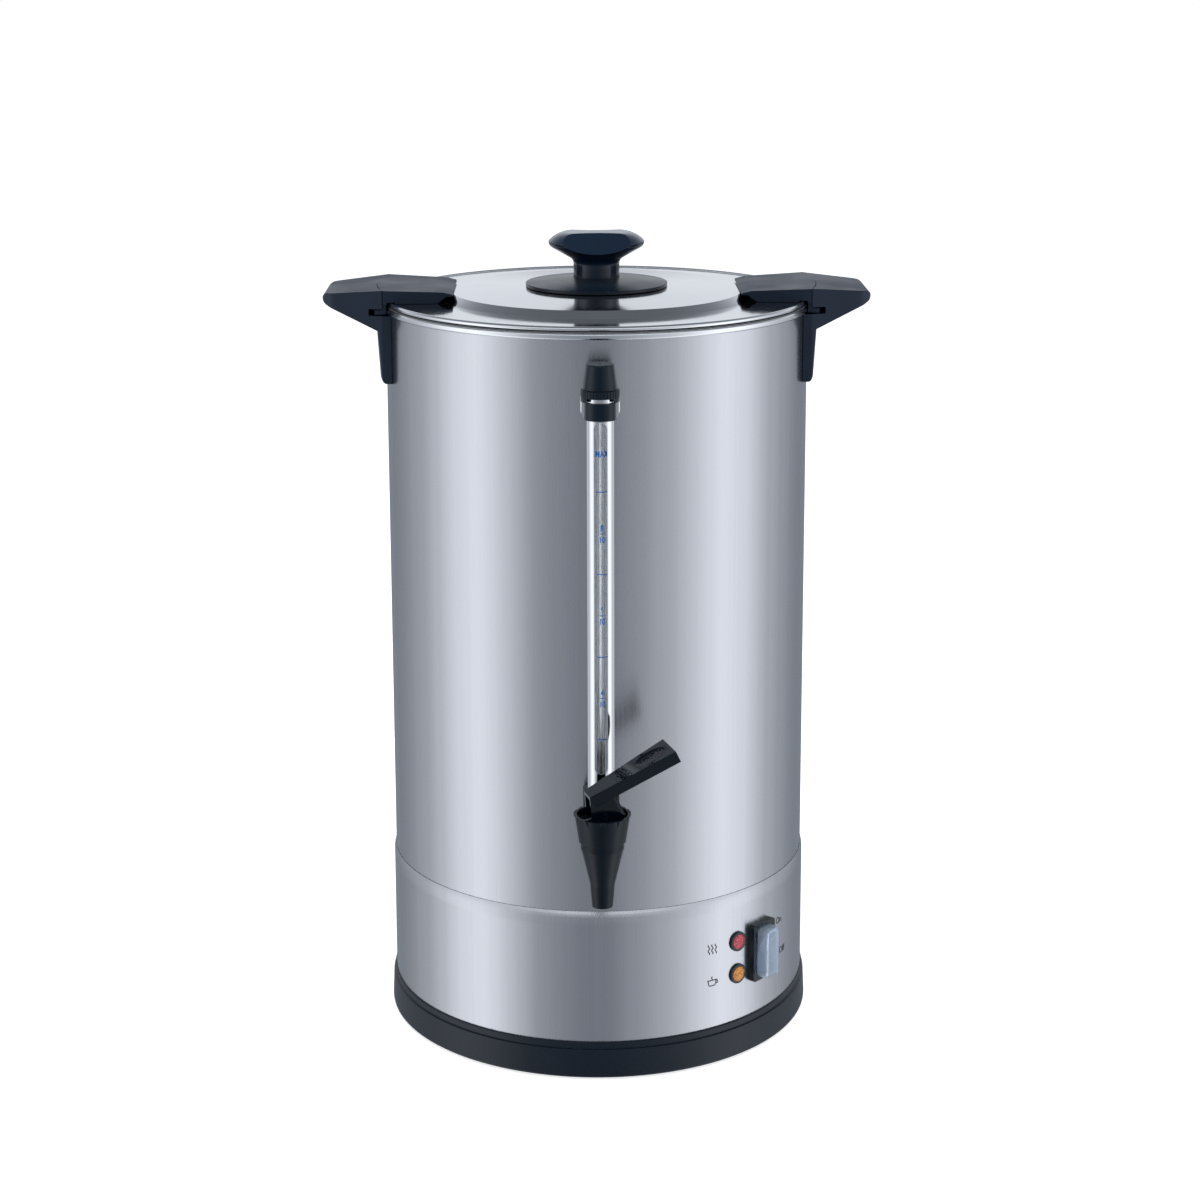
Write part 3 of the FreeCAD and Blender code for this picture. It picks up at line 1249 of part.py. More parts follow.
BULB_HEIGHT = (S.bracket_top + S.saddle_height + S.seat_gap + S.bulb_radius).value
BULB_AT = Vector(-BULB_X.value, BULB_Y.value, BULB_HEIGHT)
BULB_AXIS = Vector(-BULB_SIN.value, -BULB_COS.value, 0)
BULB_HALF = S.bulb_length.value / 2
bulb = Part.makeCylinder(S.bulb_radius.value, 2 * BULB_HALF, BULB_AT - BULB_AXIS * BULB_HALF, BULB_AXIS)
BULB_END = BULB_AT - BULB_AXIS * (BULB_HALF - 2)
CUTOUT_PORT = Vector(S.cutout_x.value, S.cutout_y.value + 5, (CUTOUT_TOP + S.seat_gap).value)
CAPILLARY_TOP = Vector(CAPILLARY_X.value, CAPILLARY_Y.value, BULB_END.z)
CAPILLARY_TURN = Vector(
    S.capillary_turn_x.value, S.capillary_turn_y.value, BULB_END.z - S.capillary_turn_drop.value,
)
capillary = bent(
    [
        BULB_END,
        CAPILLARY_TOP,
        CAPILLARY_TOP - Vector(0, 0, S.capillary_drop.value),
        CAPILLARY_TURN,
        CUTOUT_PORT + Vector(0, 0, S.capillary_lead.value),
        CUTOUT_PORT,
    ],
    S.capillary_radius.value, S.capillary_bend.value,
)
solid_node("cutout_bulb", bulb.fuse(capillary).removeSplitter())

BLOCK_SCREWS = (-S.block_screw_spread, S.block_screw_spread)
terminal_block = keep(Piece("terminal_block"))
terminal_block.pad(
    slab(-S.block_half_width, -S.block_half_depth, S.block_half_width, S.block_half_depth, 1.5),
    *[Ring(x, 0, S.control_screw_radius + S.slip_gap) for x in BLOCK_SCREWS],
    level=DECK, length=S.block_height,
)
terminal_block.cut(
    *[Ring(side * S.block_pitch / 2, DECK + S.block_height / 2, S.block_bore) for side in (-1, 1)],
    plane="XZ", middle=True, length=S.block_half_depth * 3,
)
terminal_block.place(x=S.block_x, y=S.block_y)

CONTROL_HEAD_TOP = COVER_BOTTOM - S.seat_gap
control_screw = Piece("control_screw")
control_screw.spin([
    (0, CONTROL_HEAD_TOP - S.control_head_height),
    (S.control_head_radius, CONTROL_HEAD_TOP - S.control_head_height, S.stem_edge),
    (S.control_head_radius, CONTROL_HEAD_TOP),
    (S.control_screw_radius, CONTROL_HEAD_TOP),
    (S.control_screw_radius, COVER_TOP + S.control_screw_reach),
    (0, COVER_TOP + S.control_screw_reach),
])
CONTROL_PLACES = [turned(0, Vector(x.value, y.value, 0)) for x, y in CONTROL_SPOTS]
group("base_screws", [(foot_screw, FOOT_PLACES), (tie_bolt, [Placement()]), (control_screw, CONTROL_PLACES)])

# Mains inlet at the back
INLET_CLEAR = S.housing_radius + S.seat_gap
inlet = keep(Piece("power_inlet"))
INLET_INSIDE = S.inlet_body_back + S.inlet_corner
inlet.pad(
    slab(
        -S.inlet_flange_half, S.inlet_height - S.inlet_flange_rise,
        S.inlet_flange_half, S.inlet_height + S.inlet_flange_rise, S.inlet_corner,
    ),
    Ring(S.inlet_hole_spread, S.inlet_height, S.inlet_screw_radius + S.screw_gap),
    Ring(-S.inlet_hole_spread, S.inlet_height, S.inlet_screw_radius + S.screw_gap),
    plane="XZ", level=INLET_INSIDE, length=S.inlet_flange_front - INLET_INSIDE,
)
inlet.spin(slab(0, S.housing_foot, INLET_CLEAR, S.housing_shoulder), cut=True)
inlet.pad(
    slab(
        -S.inlet_body_half, S.inlet_height - S.inlet_body_rise,
        S.inlet_body_half, S.inlet_height + S.inlet_body_rise, S.inlet_corner / 2,
    ),
    plane="XZ", level=S.inlet_body_back, length=INLET_CLEAR + 1 - S.inlet_body_back,
)
inlet.cut(
    slab(
        -S.inlet_socket_half, S.inlet_height - S.inlet_socket_rise,
        S.inlet_socket_half, S.inlet_height + S.inlet_socket_rise, S.inlet_corner / 2,
    ),
    plane="XZ", level=S.inlet_socket_floor, length=S.inlet_flange_front,
)
PINS = [(-S.pin_spread, S.inlet_height), (Dim(0), S.inlet_height + S.pin_rise), (S.pin_spread, S.inlet_height)]


def pin_slab(x, z, gap):
    """Return the outline of an inlet pin at x, z."""
    wide = S.pin_half_width + gap
    tall = S.pin_half_height + gap
    return slab(x - wide, z - tall, x + wide, z + tall)


inlet.cut(*[pin_slab(x, z, S.slip_gap) for x, z in PINS], plane="XZ", level=S.inlet_body_back - 1, length=9)
inlet.place(turn=180)

inlet_pin = Piece("inlet_pin")
inlet_pin.pad(pin_slab(Dim(0), Dim(0), Dim(0)), plane="XZ", level=S.pin_back, length=S.pin_front - S.pin_back)
group("inlet_pins", [(inlet_pin, [turned(180, Vector(-x.value, 0, z.value)) for x, z in PINS])])

inlet_screw = Piece("inlet_screw")
INLET_HEAD = S.inlet_flange_front + S.seat_gap
inlet_screw.spin([
    (0, S.inlet_screw_back),
    (S.inlet_screw_radius, S.inlet_screw_back),
    (S.inlet_screw_radius, INLET_HEAD),
    (S.inlet_head_radius, INLET_HEAD),
    (S.inlet_head_radius, INLET_HEAD + S.inlet_head_height, S.stem_edge),
    (0, INLET_HEAD + S.inlet_head_height),
])
SIDE_SHIFT = S.inlet_hole_spread.value
INLET_PLACES = [
    aimed(180, S.inlet_height.value).multiply(Placement(Vector(x, 0, 0), Rotation()))
    for x in (-SIDE_SHIFT, SIDE_SHIFT)
]
group("inlet_screws", [(inlet_screw, INLET_PLACES)])

# Indicator lamps
LAMP_SEAT = S.housing_radius + S.seat_gap * 2
for name, height in (("heating_lamp", S.heating_lamp_height), ("warm_lamp", S.warm_lamp_height)):
    holder = keep(Piece(name + "_holder"))
    holder.spin([
        (S.lamp_bore, S.lamp_back),
        (S.lamp_barrel_radius, S.lamp_back),
        (S.lamp_barrel_radius, LAMP_SEAT),
        (S.lamp_rim_radius, LAMP_SEAT),
        (S.lamp_rim_radius, S.lamp_rim_front, S.lip_edge),
        (S.lamp_bore, S.lamp_rim_front),
    ])
    holder.aim(S.lamp_azimuth, height)
    lens = keep(Piece(name + "_lens"))
    LENS_RADIUS = S.lamp_bore - S.slip_gap
    LENS_RISE = S.lens_crown - S.lens_edge
    LENS_DOME = (LENS_RADIUS * LENS_RADIUS + LENS_RISE * LENS_RISE) / (LENS_RISE * 2)
    lens.spin([
        (0, S.lamp_back + 2),
        (LENS_RADIUS, S.lamp_back + 2),
        (LENS_RADIUS, S.lens_edge, None, LENS_DOME),
        (0, S.lens_crown),
    ])
    lens.aim(S.lamp_azimuth, height)

# Rocker switch
SWITCH_CLEAR = S.housing_radius + S.seat_gap
housing = keep(Piece("switch_housing"))
housing.pad(
    slab(
        -S.bezel_half_width, S.switch_height - S.bezel_half_height,
        S.bezel_half_width, S.switch_height + S.bezel_half_height, S.bezel_corner,
    ),
    plane="XZ", level=S.well_floor, length=S.bezel_front - S.well_floor,
)
housing.spin(slab(0, S.ring_top, SWITCH_CLEAR, S.housing_top), cut=True)
housing.pad(
    slab(
        -S.switch_body_half, S.switch_height - S.switch_body_rise,
        S.switch_body_half, S.switch_height + S.switch_body_rise, S.bezel_corner / 2,
    ),
    plane="XZ", level=S.switch_body_back, length=SWITCH_CLEAR + 1 - S.switch_body_back,
)
housing.cut(
    slab(
        -S.well_half, S.switch_height - S.well_rise, S.well_half, S.switch_height + S.well_rise,
        S.bezel_corner / 2,
    ),
    plane="XZ", level=S.well_floor, length=S.bezel_front,
)
housing.cut(
    slab(
        -S.boot_half - S.seat_gap, S.switch_height - S.boot_rise - S.seat_gap,
        S.boot_half + S.seat_gap, S.switch_height + S.boot_rise + S.seat_gap, S.boot_corner,
    ),
    plane="XZ", level=S.boot_ledge, length=S.bezel_front,
)
housing.cut(
    Ring(-S.rocker_pivot, S.switch_height, S.rocker_pin_radius + S.slip_gap),
    plane="YZ", middle=True, length=(S.rocker_pin_half + S.seat_gap) * 2,
)
housing.place(turn=S.switch_azimuth)

boot = keep(Piece("switch_boot"))
BOOT_FOOT = S.boot_ledge + S.seat_gap
boot.pad(
    slab(
        -S.boot_half, S.switch_height - S.boot_rise, S.boot_half, S.switch_height + S.boot_rise, S.boot_corner,
    ),
    plane="XZ", level=BOOT_FOOT, length=S.boot_front - BOOT_FOOT,
)
boot.soften(S.boot_edge, lambda edge: max(v.Y for v in edge.Vertexes) < -S.boot_front.value + 0.01)
boot.cut(
    slab(
        -S.boot_half + S.boot_wall, S.switch_height - S.boot_rise + S.boot_wall,
        S.boot_half - S.boot_wall, S.switch_height + S.boot_rise - S.boot_wall, S.boot_corner - S.boot_wall,
    ),
    plane="XZ", level=BOOT_FOOT - 1, length=S.boot_front - S.boot_wall * 1.6 - BOOT_FOOT + 1,
)
boot.place(turn=S.switch_azimuth)

rocker = keep(Piece("switch_rocker"))
rocker.pad(
    [
        (-S.rocker_tip, S.rocker_rise),
        (-S.rocker_dip, 0),
        (-S.rocker_tip, -S.rocker_rise),
        (-S.rocker_root, -S.rocker_root_rise),
        (S.rocker_tail, -S.rocker_tail),
        (S.rocker_tail, S.rocker_tail),
        (-S.rocker_root, S.rocker_root_rise),
    ],
    plane="YZ", middle=True, length=S.rocker_half * 2,
)
rocker.pad(Ring(0, 0, S.rocker_pin_radius), plane="YZ", middle=True, length=S.rocker_pin_half * 2)
rocker.place(
    x=S.rocker_pivot * sine(S.switch_azimuth), y=-S.rocker_pivot * cosine(S.switch_azimuth), z=S.switch_height,
    turn=S.switch_azimuth, rotation=Rotation(Vector(1, 0, 0), S.rocker_rest.value),
)

switch_blade = Piece("switch_blade")
switch_blade.pad(
    slab(-S.blade_half_width, -S.blade_half_thick, S.blade_half_width, S.blade_half_thick),
    plane="XZ", level=S.switch_blade_back, length=S.switch_body_back - S.seat_gap - S.switch_blade_back,
)
BLADE_PITCH = S.switch_blade_pitch.value
BLADE_PLACES = [
    turned(S.switch_azimuth.value, Vector(0, 0, S.switch_height.value + side * BLADE_PITCH)) for side in (-1, 0, 1)
]
group("switch_blades", [(switch_blade, BLADE_PLACES)])

# Handles: the right one at +X, the left one turned by half a turn
SADDLE_IN = S.body_radius + S.seat_gap
SADDLE_AXIS = S.body_radius + S.saddle_thick - S.saddle_round
SADDLE_BACK = S.saddle_round + S.wing_start - S.body_radius
SADDLE_ROOT = S.saddle_round + S.saddle_taper
WING_REACH = S.wing_radius + S.wing_corner


def make_handle(name, turn):
    """Build one handle with its wing, lock slot and saddle."""
    handle = keep(Piece(name))
    handle.pad(
        [
            (S.wing_start, S.wing_root_height),
            (S.wing_root, S.wing_root_height),
            (S.wing_under_radius, S.wing_under_height),
            (S.wing_radius, S.wing_tip_height, S.wing_tip_round),
            (S.wing_tip_radius, S.wing_tip_top, S.wing_top_round),
            (S.body_radius, S.wing_top),
            (S.wing_start, S.wing_top),
        ],
        plane="XZ", middle=True, length=S.wing_half * 2,
    )
    handle.spin(
        [
            (SADDLE_BACK, S.saddle_foot),
            (S.saddle_round, S.saddle_foot, S.saddle_edge),
            (SADDLE_ROOT, S.wing_root_height),
            (SADDLE_ROOT, S.saddle_top),
            (SADDLE_BACK, S.saddle_top),
        ],
        angle=S.saddle_angle, shift=SADDLE_AXIS,
    )
    for side in (-1, 1):
        handle.cut(
            [
                (S.wing_start - 5, side * S.wing_half),
                (S.body_radius, side * S.wing_half),
                (S.wing_tip_radius, side * S.wing_tip_half, S.wing_corner),
                (S.wing_radius + 1, side * S.wing_nose_half),
                (WING_REACH, side * S.wing_nose_half),
                (WING_REACH, side * S.wing_half * 1.5),
                (S.wing_start - 5, side * S.wing_half * 1.5),
            ],
            level=S.saddle_foot - 1, length=S.rim_top,
        )
    handle.spin(slab(0, S.saddle_foot - 1, SADDLE_IN, S.saddle_top + 1), cut=True)
    handle.spin(slab(0, S.saddle_top, S.wing_inner, S.wing_top + 5), cut=True)
    handle.spin(slab(S.wing_inner - 3, S.slot_bottom, S.slot_depth, S.slot_top), cut=True)
    for azimuth in (90 - S.handle_screw_angle, 90 + S.handle_screw_angle):
        handle.cut(
            Ring(0, S.handle_screw_height, S.handle_screw_radius + S.slip_gap),
            plane="XZ", turn=azimuth, length=S.handle_screw_end + 0.5,
        )
    handle.place(turn=turn)


make_handle("handle_right", 0)
make_handle("handle_left", 180)

HANDLE_HOLE_Z = S.handle_screw_height.value
WASHER_OUT = SHELL_INNER - S.seat_gap * 1.5
WASHER_IN = WASHER_OUT - S.handle_washer_thick
handle_screw = Piece("handle_screw")
handle_screw.spin([
    (0, WASHER_IN - S.seat_gap - S.handle_head_height),
    (S.handle_head_radius, WASHER_IN - S.seat_gap - S.handle_head_height, S.stem_edge),
    (S.handle_head_radius, WASHER_IN - S.seat_gap),
    (S.handle_screw_radius, WASHER_IN - S.seat_gap),
    (S.handle_screw_radius, S.handle_screw_end),
    (0, S.handle_screw_end),
])
HANDLE_SPOTS = [aimed(azimuth.value, HANDLE_HOLE_Z) for azimuth in HANDLE_HOLES]
handle_washer = Piece("handle_washer")
handle_washer.spin(slab(S.handle_screw_radius + S.screw_gap, WASHER_IN, S.handle_washer_radius, WASHER_OUT))

# Lid with its knob, seal and lugs
LID_UNDER = S.lid_ledge - S.lid_sheet
BEAD_IN = S.lid_bead - S.lid_sheet
lid = keep(Piece("lid_panel"))
KNOB_HOLE = S.knob_screw_radius + S.screw_gap
lid.spin([
    (KNOB_HOLE, S.lid_crown - S.lid_sheet),
    (S.lid_plateau_radius, S.lid_plateau - S.lid_sheet),
    (S.lid_shoulder_radius - S.free_gap, S.lid_shoulder - S.lid_sheet),
    (S.lid_step_radius - S.free_gap, LID_UNDER),
    (S.lid_bead_radius - S.lid_bead + S.lid_sheet / 2, LID_UNDER),
    (S.lid_bead_radius - S.lid_bead + S.lid_sheet / 2, S.lid_ledge),
    (S.lid_step_radius, S.lid_ledge),
    (S.lid_shoulder_radius, S.lid_shoulder),
    (S.lid_plateau_radius, S.lid_plateau),
    (KNOB_HOLE, S.lid_crown),
])
BEAD_X = S.lid_bead_radius
BEAD_Z = S.lid_bead_height
lid.spin([
    (BEAD_X - S.lid_bead, BEAD_Z, None, -S.lid_bead),
    (BEAD_X, BEAD_Z + S.lid_bead, None, -S.lid_bead),
    (BEAD_X + S.lid_bead, BEAD_Z, None, -S.lid_bead),
    (BEAD_X, BEAD_Z - S.lid_bead),
    (BEAD_X, BEAD_Z - BEAD_IN, None, BEAD_IN),
    (BEAD_X + BEAD_IN, BEAD_Z, None, BEAD_IN),
    (BEAD_X, BEAD_Z + BEAD_IN, None, BEAD_IN),
    (BEAD_X - BEAD_IN, BEAD_Z),
])
LUG_AZIMUTHS = [side + sign * S.lug_screw_angle for side in HANDLE_SIDES for sign in (-1, 1)]
LUG_SPOTS = [(S.lug_screw_reach * sine(a), -S.lug_screw_reach * cosine(a)) for a in LUG_AZIMUTHS]
lid.cut(
    *[Ring(x, y, S.lug_screw_radius + S.screw_gap) for x, y in LUG_SPOTS],
    level=LID_UNDER - 1, length=S.lid_sheet + 2,
)

lid_seal = keep(Piece("lid_seal"))
SKIRT_OUT = SHELL_INNER - S.free_gap
FIN_FOOT = S.rim_top + S.seat_gap
FIN_TOP = S.lid_bead_height - S.lid_bead - S.seat_gap
lid_seal.spin([
    (S.seal_inner, S.seal_web),
    (S.seal_skirt_inner, S.seal_web),
    (S.seal_skirt_inner, S.seal_skirt_foot),
    (SKIRT_OUT, S.seal_skirt_foot, S.shell_wall),
    (SKIRT_OUT, FIN_FOOT),
    (S.seal_fin_radius, FIN_FOOT),
    (S.seal_fin_radius, FIN_TOP),
    (S.seal_land, FIN_TOP),
    (S.seal_land, LID_UNDER - S.seat_gap),
    (S.seal_inner, LID_UNDER - S.seat_gap),
])

KNOB_BASE_FOOT = S.lid_crown + S.seat_gap
KNOB_SEAT = S.knob_base_top - S.knob_seat_depth
NECK_ROOM = S.knob_neck_radius + S.seat_gap * 2
knob_base = keep(Piece("knob_base"))
knob_base.spin([
    (KNOB_HOLE, KNOB_BASE_FOOT),
    (S.knob_base_radius, KNOB_BASE_FOOT),
    (S.knob_base_radius, KNOB_BASE_FOOT + S.knob_base_edge, None, S.knob_base_dome),
    (NECK_ROOM, S.knob_base_top),
    (NECK_ROOM, KNOB_SEAT),
    (KNOB_HOLE, KNOB_SEAT),
])

KNOB_FOOT = KNOB_SEAT + S.seat_gap
KNOB_CURVE = S.knob_radius - S.knob_flat
KNOB_EDGE_TOP = S.knob_top - S.knob_crown + root(S.knob_crown * S.knob_crown - KNOB_CURVE * KNOB_CURVE)
knob = keep(Piece("knob"))
SCREW_ROOM = S.knob_screw_radius + S.slip_gap
knob.spin([
    (SCREW_ROOM, KNOB_FOOT),
    (S.knob_neck_radius, KNOB_FOOT),
    (S.knob_neck_radius, S.knob_neck_top, S.knob_neck_fillet),
    (S.knob_radius, S.knob_under, S.knob_under_round),
    (S.knob_radius, KNOB_EDGE_TOP, None, S.knob_crown),
    (S.knob_flat, S.knob_top),
    (0, S.knob_top),
    (0, S.knob_screw_top + 1),
    (SCREW_ROOM, S.knob_screw_top + 1),
])
SCOOP_MIDDLE = S.scoop_start * sine(S.scoop_slope) + S.scoop_radius
for side in (-1, 1):
    knob.cut(
        Ring(-side * SCOOP_MIDDLE, 0, S.scoop_radius),
        level=S.knob_top, turn=side * (S.scoop_slope + 90), middle=True, length=S.knob_radius * 4,
    )
knob.place(turn=90)

KNOB_HEAD_TOP = S.lid_crown - S.lid_sheet - S.seat_gap
knob_screw = Piece("knob_screw")
knob_screw.spin([
    (0, KNOB_HEAD_TOP - S.knob_head_height),
    (S.knob_head_radius, KNOB_HEAD_TOP - S.knob_head_height, S.knob_head_height / 2),
    (S.knob_head_radius, KNOB_HEAD_TOP),
    (S.knob_screw_radius, KNOB_HEAD_TOP),
    (S.knob_screw_radius, S.knob_screw_top),
    (0, S.knob_screw_top),
])

LUG_FOOT = S.lid_ledge + S.seat_gap


def make_lug(name, turn):
    """Build one lid lug with its web and lock foot."""
    lug = keep(Piece(name))
    lug.pad(
        [
            (S.lug_inner, S.lid_shoulder + S.free_gap),
            (S.lid_shoulder_radius + 1, S.lid_shoulder + S.free_gap),
            (S.lid_step_radius + 1, LUG_FOOT),
            (S.lug_radius + 2, LUG_FOOT),
            (S.lug_radius + 2, S.lug_top),
            (S.lug_bevel, S.lug_bevel_height),
            (S.lug_inner, S.lid_shoulder + 1.5),
        ],
        plane="XZ", middle=True, length=S.lug_half * 2,
    )
    for side in (-1, 1):
        lug.cut(
            [
                (S.lug_inner - 3, side * S.lug_inner_half),
                (S.lug_inner, side * S.lug_inner_half),
                (S.lug_radius - 4, side * S.lug_half),
                (S.lug_radius + 5, side * S.lug_half),
                (S.lug_radius + 5, side * (S.lug_half + 5)),
                (S.lug_inner - 3, side * (S.lug_half + 5)),
            ],
            level=S.rim_top, length=S.handle_head_height * 10,
        )
    lug.spin(slab(S.lug_radius, S.rim_top, S.lug_radius + 20, S.wing_top + 5), cut=True)
    lug.spin(slab(S.lug_bead_room, S.rim_top, S.lug_web_inner, S.lug_bead_roof), cut=True)
    lug.spin(
        [
            (S.lug_web_inner, S.lug_foot_bottom),
            (S.lug_foot_radius, S.lug_foot_bottom),
            (S.lug_foot_radius, S.lug_foot_top),
            (S.lug_radius, S.lug_foot_top),
            (S.lug_radius, S.lug_top - 1),
            (S.lug_web_inner, S.lug_top - 1),
        ],
        angle=S.lug_foot_angle,
    )
    for sign in (-1, 1):
        lug.cut(
            Ring(
                S.lug_screw_reach * cosine(S.lug_screw_angle), sign * S.lug_screw_reach * sine(S.lug_screw_angle),
                S.lug_screw_radius + S.slip_gap,
            ),
            level=LUG_FOOT - 1, length=S.lug_screw_top - LUG_FOOT + 1.3,
        )
    lug.place(turn=turn)


make_lug("lug_right", 0)
make_lug("lug_left", 180)

LUG_HEAD_TOP = LID_UNDER - S.seat_gap
lug_screw = Piece("lug_screw")
lug_screw.spin([
    (0, LUG_HEAD_TOP - S.lug_head_height),
    (S.lug_head_radius, LUG_HEAD_TOP - S.lug_head_height, S.stem_edge),
    (S.lug_head_radius, LUG_HEAD_TOP),
    (S.lug_screw_radius, LUG_HEAD_TOP),
    (S.lug_screw_radius, S.lug_screw_top),
    (0, S.lug_screw_top),
])
LUG_PLACES = [turned(0, Vector(x.value, y.value, 0)) for x, y in LUG_SPOTS]
group("lid_screws", [(knob_screw, [Placement()]), (lug_screw, LUG_PLACES)])

# Sight glass
GUARD_FRONT = S.gauge_reach + S.guard_half


def channel(half, front, back, wall, corner):
    """Return the outline of an upright channel open towards the drum."""
    return [
        (half, -back),
        (half - wall, -back),
        (half - wall, wall - front, corner - wall),
        (wall - half, wall - front, corner - wall),
        (wall - half, -back),
        (-half, -back),
        (-half, -front, corner),
        (half, -front, corner),
    ]


def stadium(x, low, high, radius):
    """Return the outline of an upright slot with round ends."""
    return [
        (x + radius, low + radius),
        (x + radius, high - radius, None, radius),
        (dim(x), high, None, radius),
        (x - radius, high - radius),
        (x - radius, low + radius, None, radius),
        (dim(x), low, None, radius),
    ]


guard = keep(Piece("gauge_guard"))
guard.pad(
    channel(S.guard_half, GUARD_FRONT, S.guard_back, S.guard_wall, S.guard_corner),
    level=S.guard_foot, length=S.guard_top - S.guard_foot,
)
guard.cut(
    stadium(0, S.slot_foot, S.slot_head, S.slot_half), plane="XZ", level=S.gauge_reach + 2, length=S.glass_radius * 3,
)

glass = keep(Piece("gauge_glass"))
glass.spin(slab(S.glass_bore, S.glass_foot, S.glass_radius, S.glass_top))
glass.place(y=-S.gauge_reach)

COLLAR_GAP = S.screw_gap
COLLAR_HALF = S.guard_half + COLLAR_GAP + S.gauge_collar_wall
collar = keep(Piece("gauge_collar"))
collar.pad(
    channel(
        COLLAR_HALF, GUARD_FRONT + COLLAR_GAP + S.gauge_collar_wall, S.mount_front + S.free_gap,
        S.gauge_collar_wall, S.guard_corner + COLLAR_GAP + S.gauge_collar_wall,
    ),
    level=S.gauge_collar_foot, length=S.gauge_collar_top - S.gauge_collar_foot,
)

mount = keep(Piece("gauge_bracket"))
MOUNT_IN = S.guard_half + S.screw_gap
mount.pad(
    [
        (S.mount_half, -S.body_radius + 2),
        (-S.mount_half, -S.body_radius + 2),
        (-S.mount_half, -S.mount_front, S.seat_gap * 10),
        (-MOUNT_IN, -S.mount_front),
        (-MOUNT_IN, -S.mount_web),
        (MOUNT_IN, -S.mount_web),
        (MOUNT_IN, -S.mount_front),
        (S.mount_half, -S.mount_front, S.seat_gap * 10),
    ],
    level=S.gauge_collar_foot, length=S.guard_top - S.gauge_collar_foot,
)
mount.spin(slab(0, S.gauge_collar_foot - 5, SADDLE_IN, S.guard_top + 5), cut=True)
mount.cut(Ring(0, S.gauge_bolt_height, S.gauge_bolt_radius + S.slip_gap), plane="XZ")
for side in (-1, 1):
    mount.cut(
        [
            (side * (S.mount_half + 1), S.gauge_collar_foot - 1),
            (side * (S.mount_half + 1), S.gauge_collar_foot + S.mount_bevel * 2),
            (side * (S.mount_half - S.mount_bevel), S.gauge_collar_foot - 1),
        ],
        plane="XZ",
    )

GAUGE_HEAD = SHELL_INNER - S.seat_gap * 1.5
gauge_bolt = Piece("gauge_bolt")
gauge_bolt.spin([
    (0, GAUGE_HEAD - S.gauge_head_height),
    (S.gauge_head_radius, GAUGE_HEAD - S.gauge_head_height, S.stem_edge),
    (S.gauge_head_radius, GAUGE_HEAD),
    (S.gauge_bolt_radius, GAUGE_HEAD),
    (S.gauge_bolt_radius, S.gauge_bolt_end),
    (0, S.gauge_bolt_end),
])
gauge_bolt.aim(0, S.gauge_bolt_height)
group("drum_screws", [
    (handle_screw, HANDLE_SPOTS),
    (handle_washer, HANDLE_SPOTS),
    (gauge_bolt, [Placement()]),
])

GLASS_ROOM = S.glass_radius + S.screw_gap
SEAL_ROOM = S.gauge_seal_radius + S.seat_gap
gauge_ring = keep(Piece("gauge_nut"))
gauge_ring.spin([
    (SEAL_ROOM, S.gauge_ring_foot),
    (S.gauge_ring_radius, S.gauge_ring_foot),
    (S.gauge_ring_radius, S.gauge_ring_top, S.lip_edge),
    (GLASS_ROOM, S.gauge_ring_top),
    (GLASS_ROOM, S.gauge_ring_foot + S.gauge_seal_thick + S.seat_gap * 2),
    (SEAL_ROOM, S.gauge_ring_foot + S.gauge_seal_thick + S.seat_gap * 2),
])
EAR_BACK = S.mount_front - S.gauge_reach + S.free_gap
gauge_ring.pad(
    Ring(0, 0, S.gauge_ring_radius), Ring(0, 0, S.gauge_ear_inner),
    level=S.gauge_ear_foot, length=S.gauge_ring_foot - S.gauge_ear_foot + 1,
)
EAR_REACH = S.gauge_ring_radius + 2
for room in (
    slab(-S.gauge_window, -EAR_REACH, S.gauge_window, EAR_REACH),
    slab(-EAR_REACH, -EAR_BACK, EAR_REACH, EAR_REACH + 1),
):
    gauge_ring.cut(room, level=S.gauge_ear_foot - 1, length=S.gauge_ring_foot - S.gauge_ear_foot + 1)
knurl = gauge_ring.cut(
    Ring(S.gauge_ring_radius, 0, S.knurl_radius), level=S.gauge_ring_foot, length=S.gauge_ring_top,
)
gauge_ring.around([knurl], S.knurl_count)
gauge_ring.place(y=-S.gauge_reach)

CAP_FOOT = S.gauge_ring_top + S.seat_gap
cap = keep(Piece("gauge_cap"))
cap.spin([
    (S.cap_bore, CAP_FOOT),
    (S.cap_radius, CAP_FOOT),
    (S.cap_top_radius, S.cap_top, S.cap_edge),
    (S.cap_vent, S.cap_top),
    (S.cap_vent, S.cap_roof),
    (S.cap_bore, S.cap_roof),
])
cap.place(y=-S.gauge_reach)

block = keep(Piece("gauge_base"))
block.pad(
    slab(-S.gauge_base_half, -S.gauge_base_front, S.gauge_base_half, -S.gauge_base_back, 2),
    level=S.gauge_base_foot, length=S.gauge_base_top - S.gauge_base_foot,
)
block.cut(Ring(0, S.shank_height, S.shank_radius + S.screw_gap), plane="XZ")
block.cut(
    Ring(0, -S.gauge_reach, S.gauge_way), level=S.shank_height, length=S.glass_foot - S.shank_height + 1,
)
block.cut(
    Ring(0, -S.gauge_reach, GLASS_ROOM), level=S.glass_foot - S.seat_gap, length=S.glass_top,
)
block.cut(Ring(0, -S.gauge_reach, SEAL_ROOM), level=S.gauge_gland, length=S.glass_top)

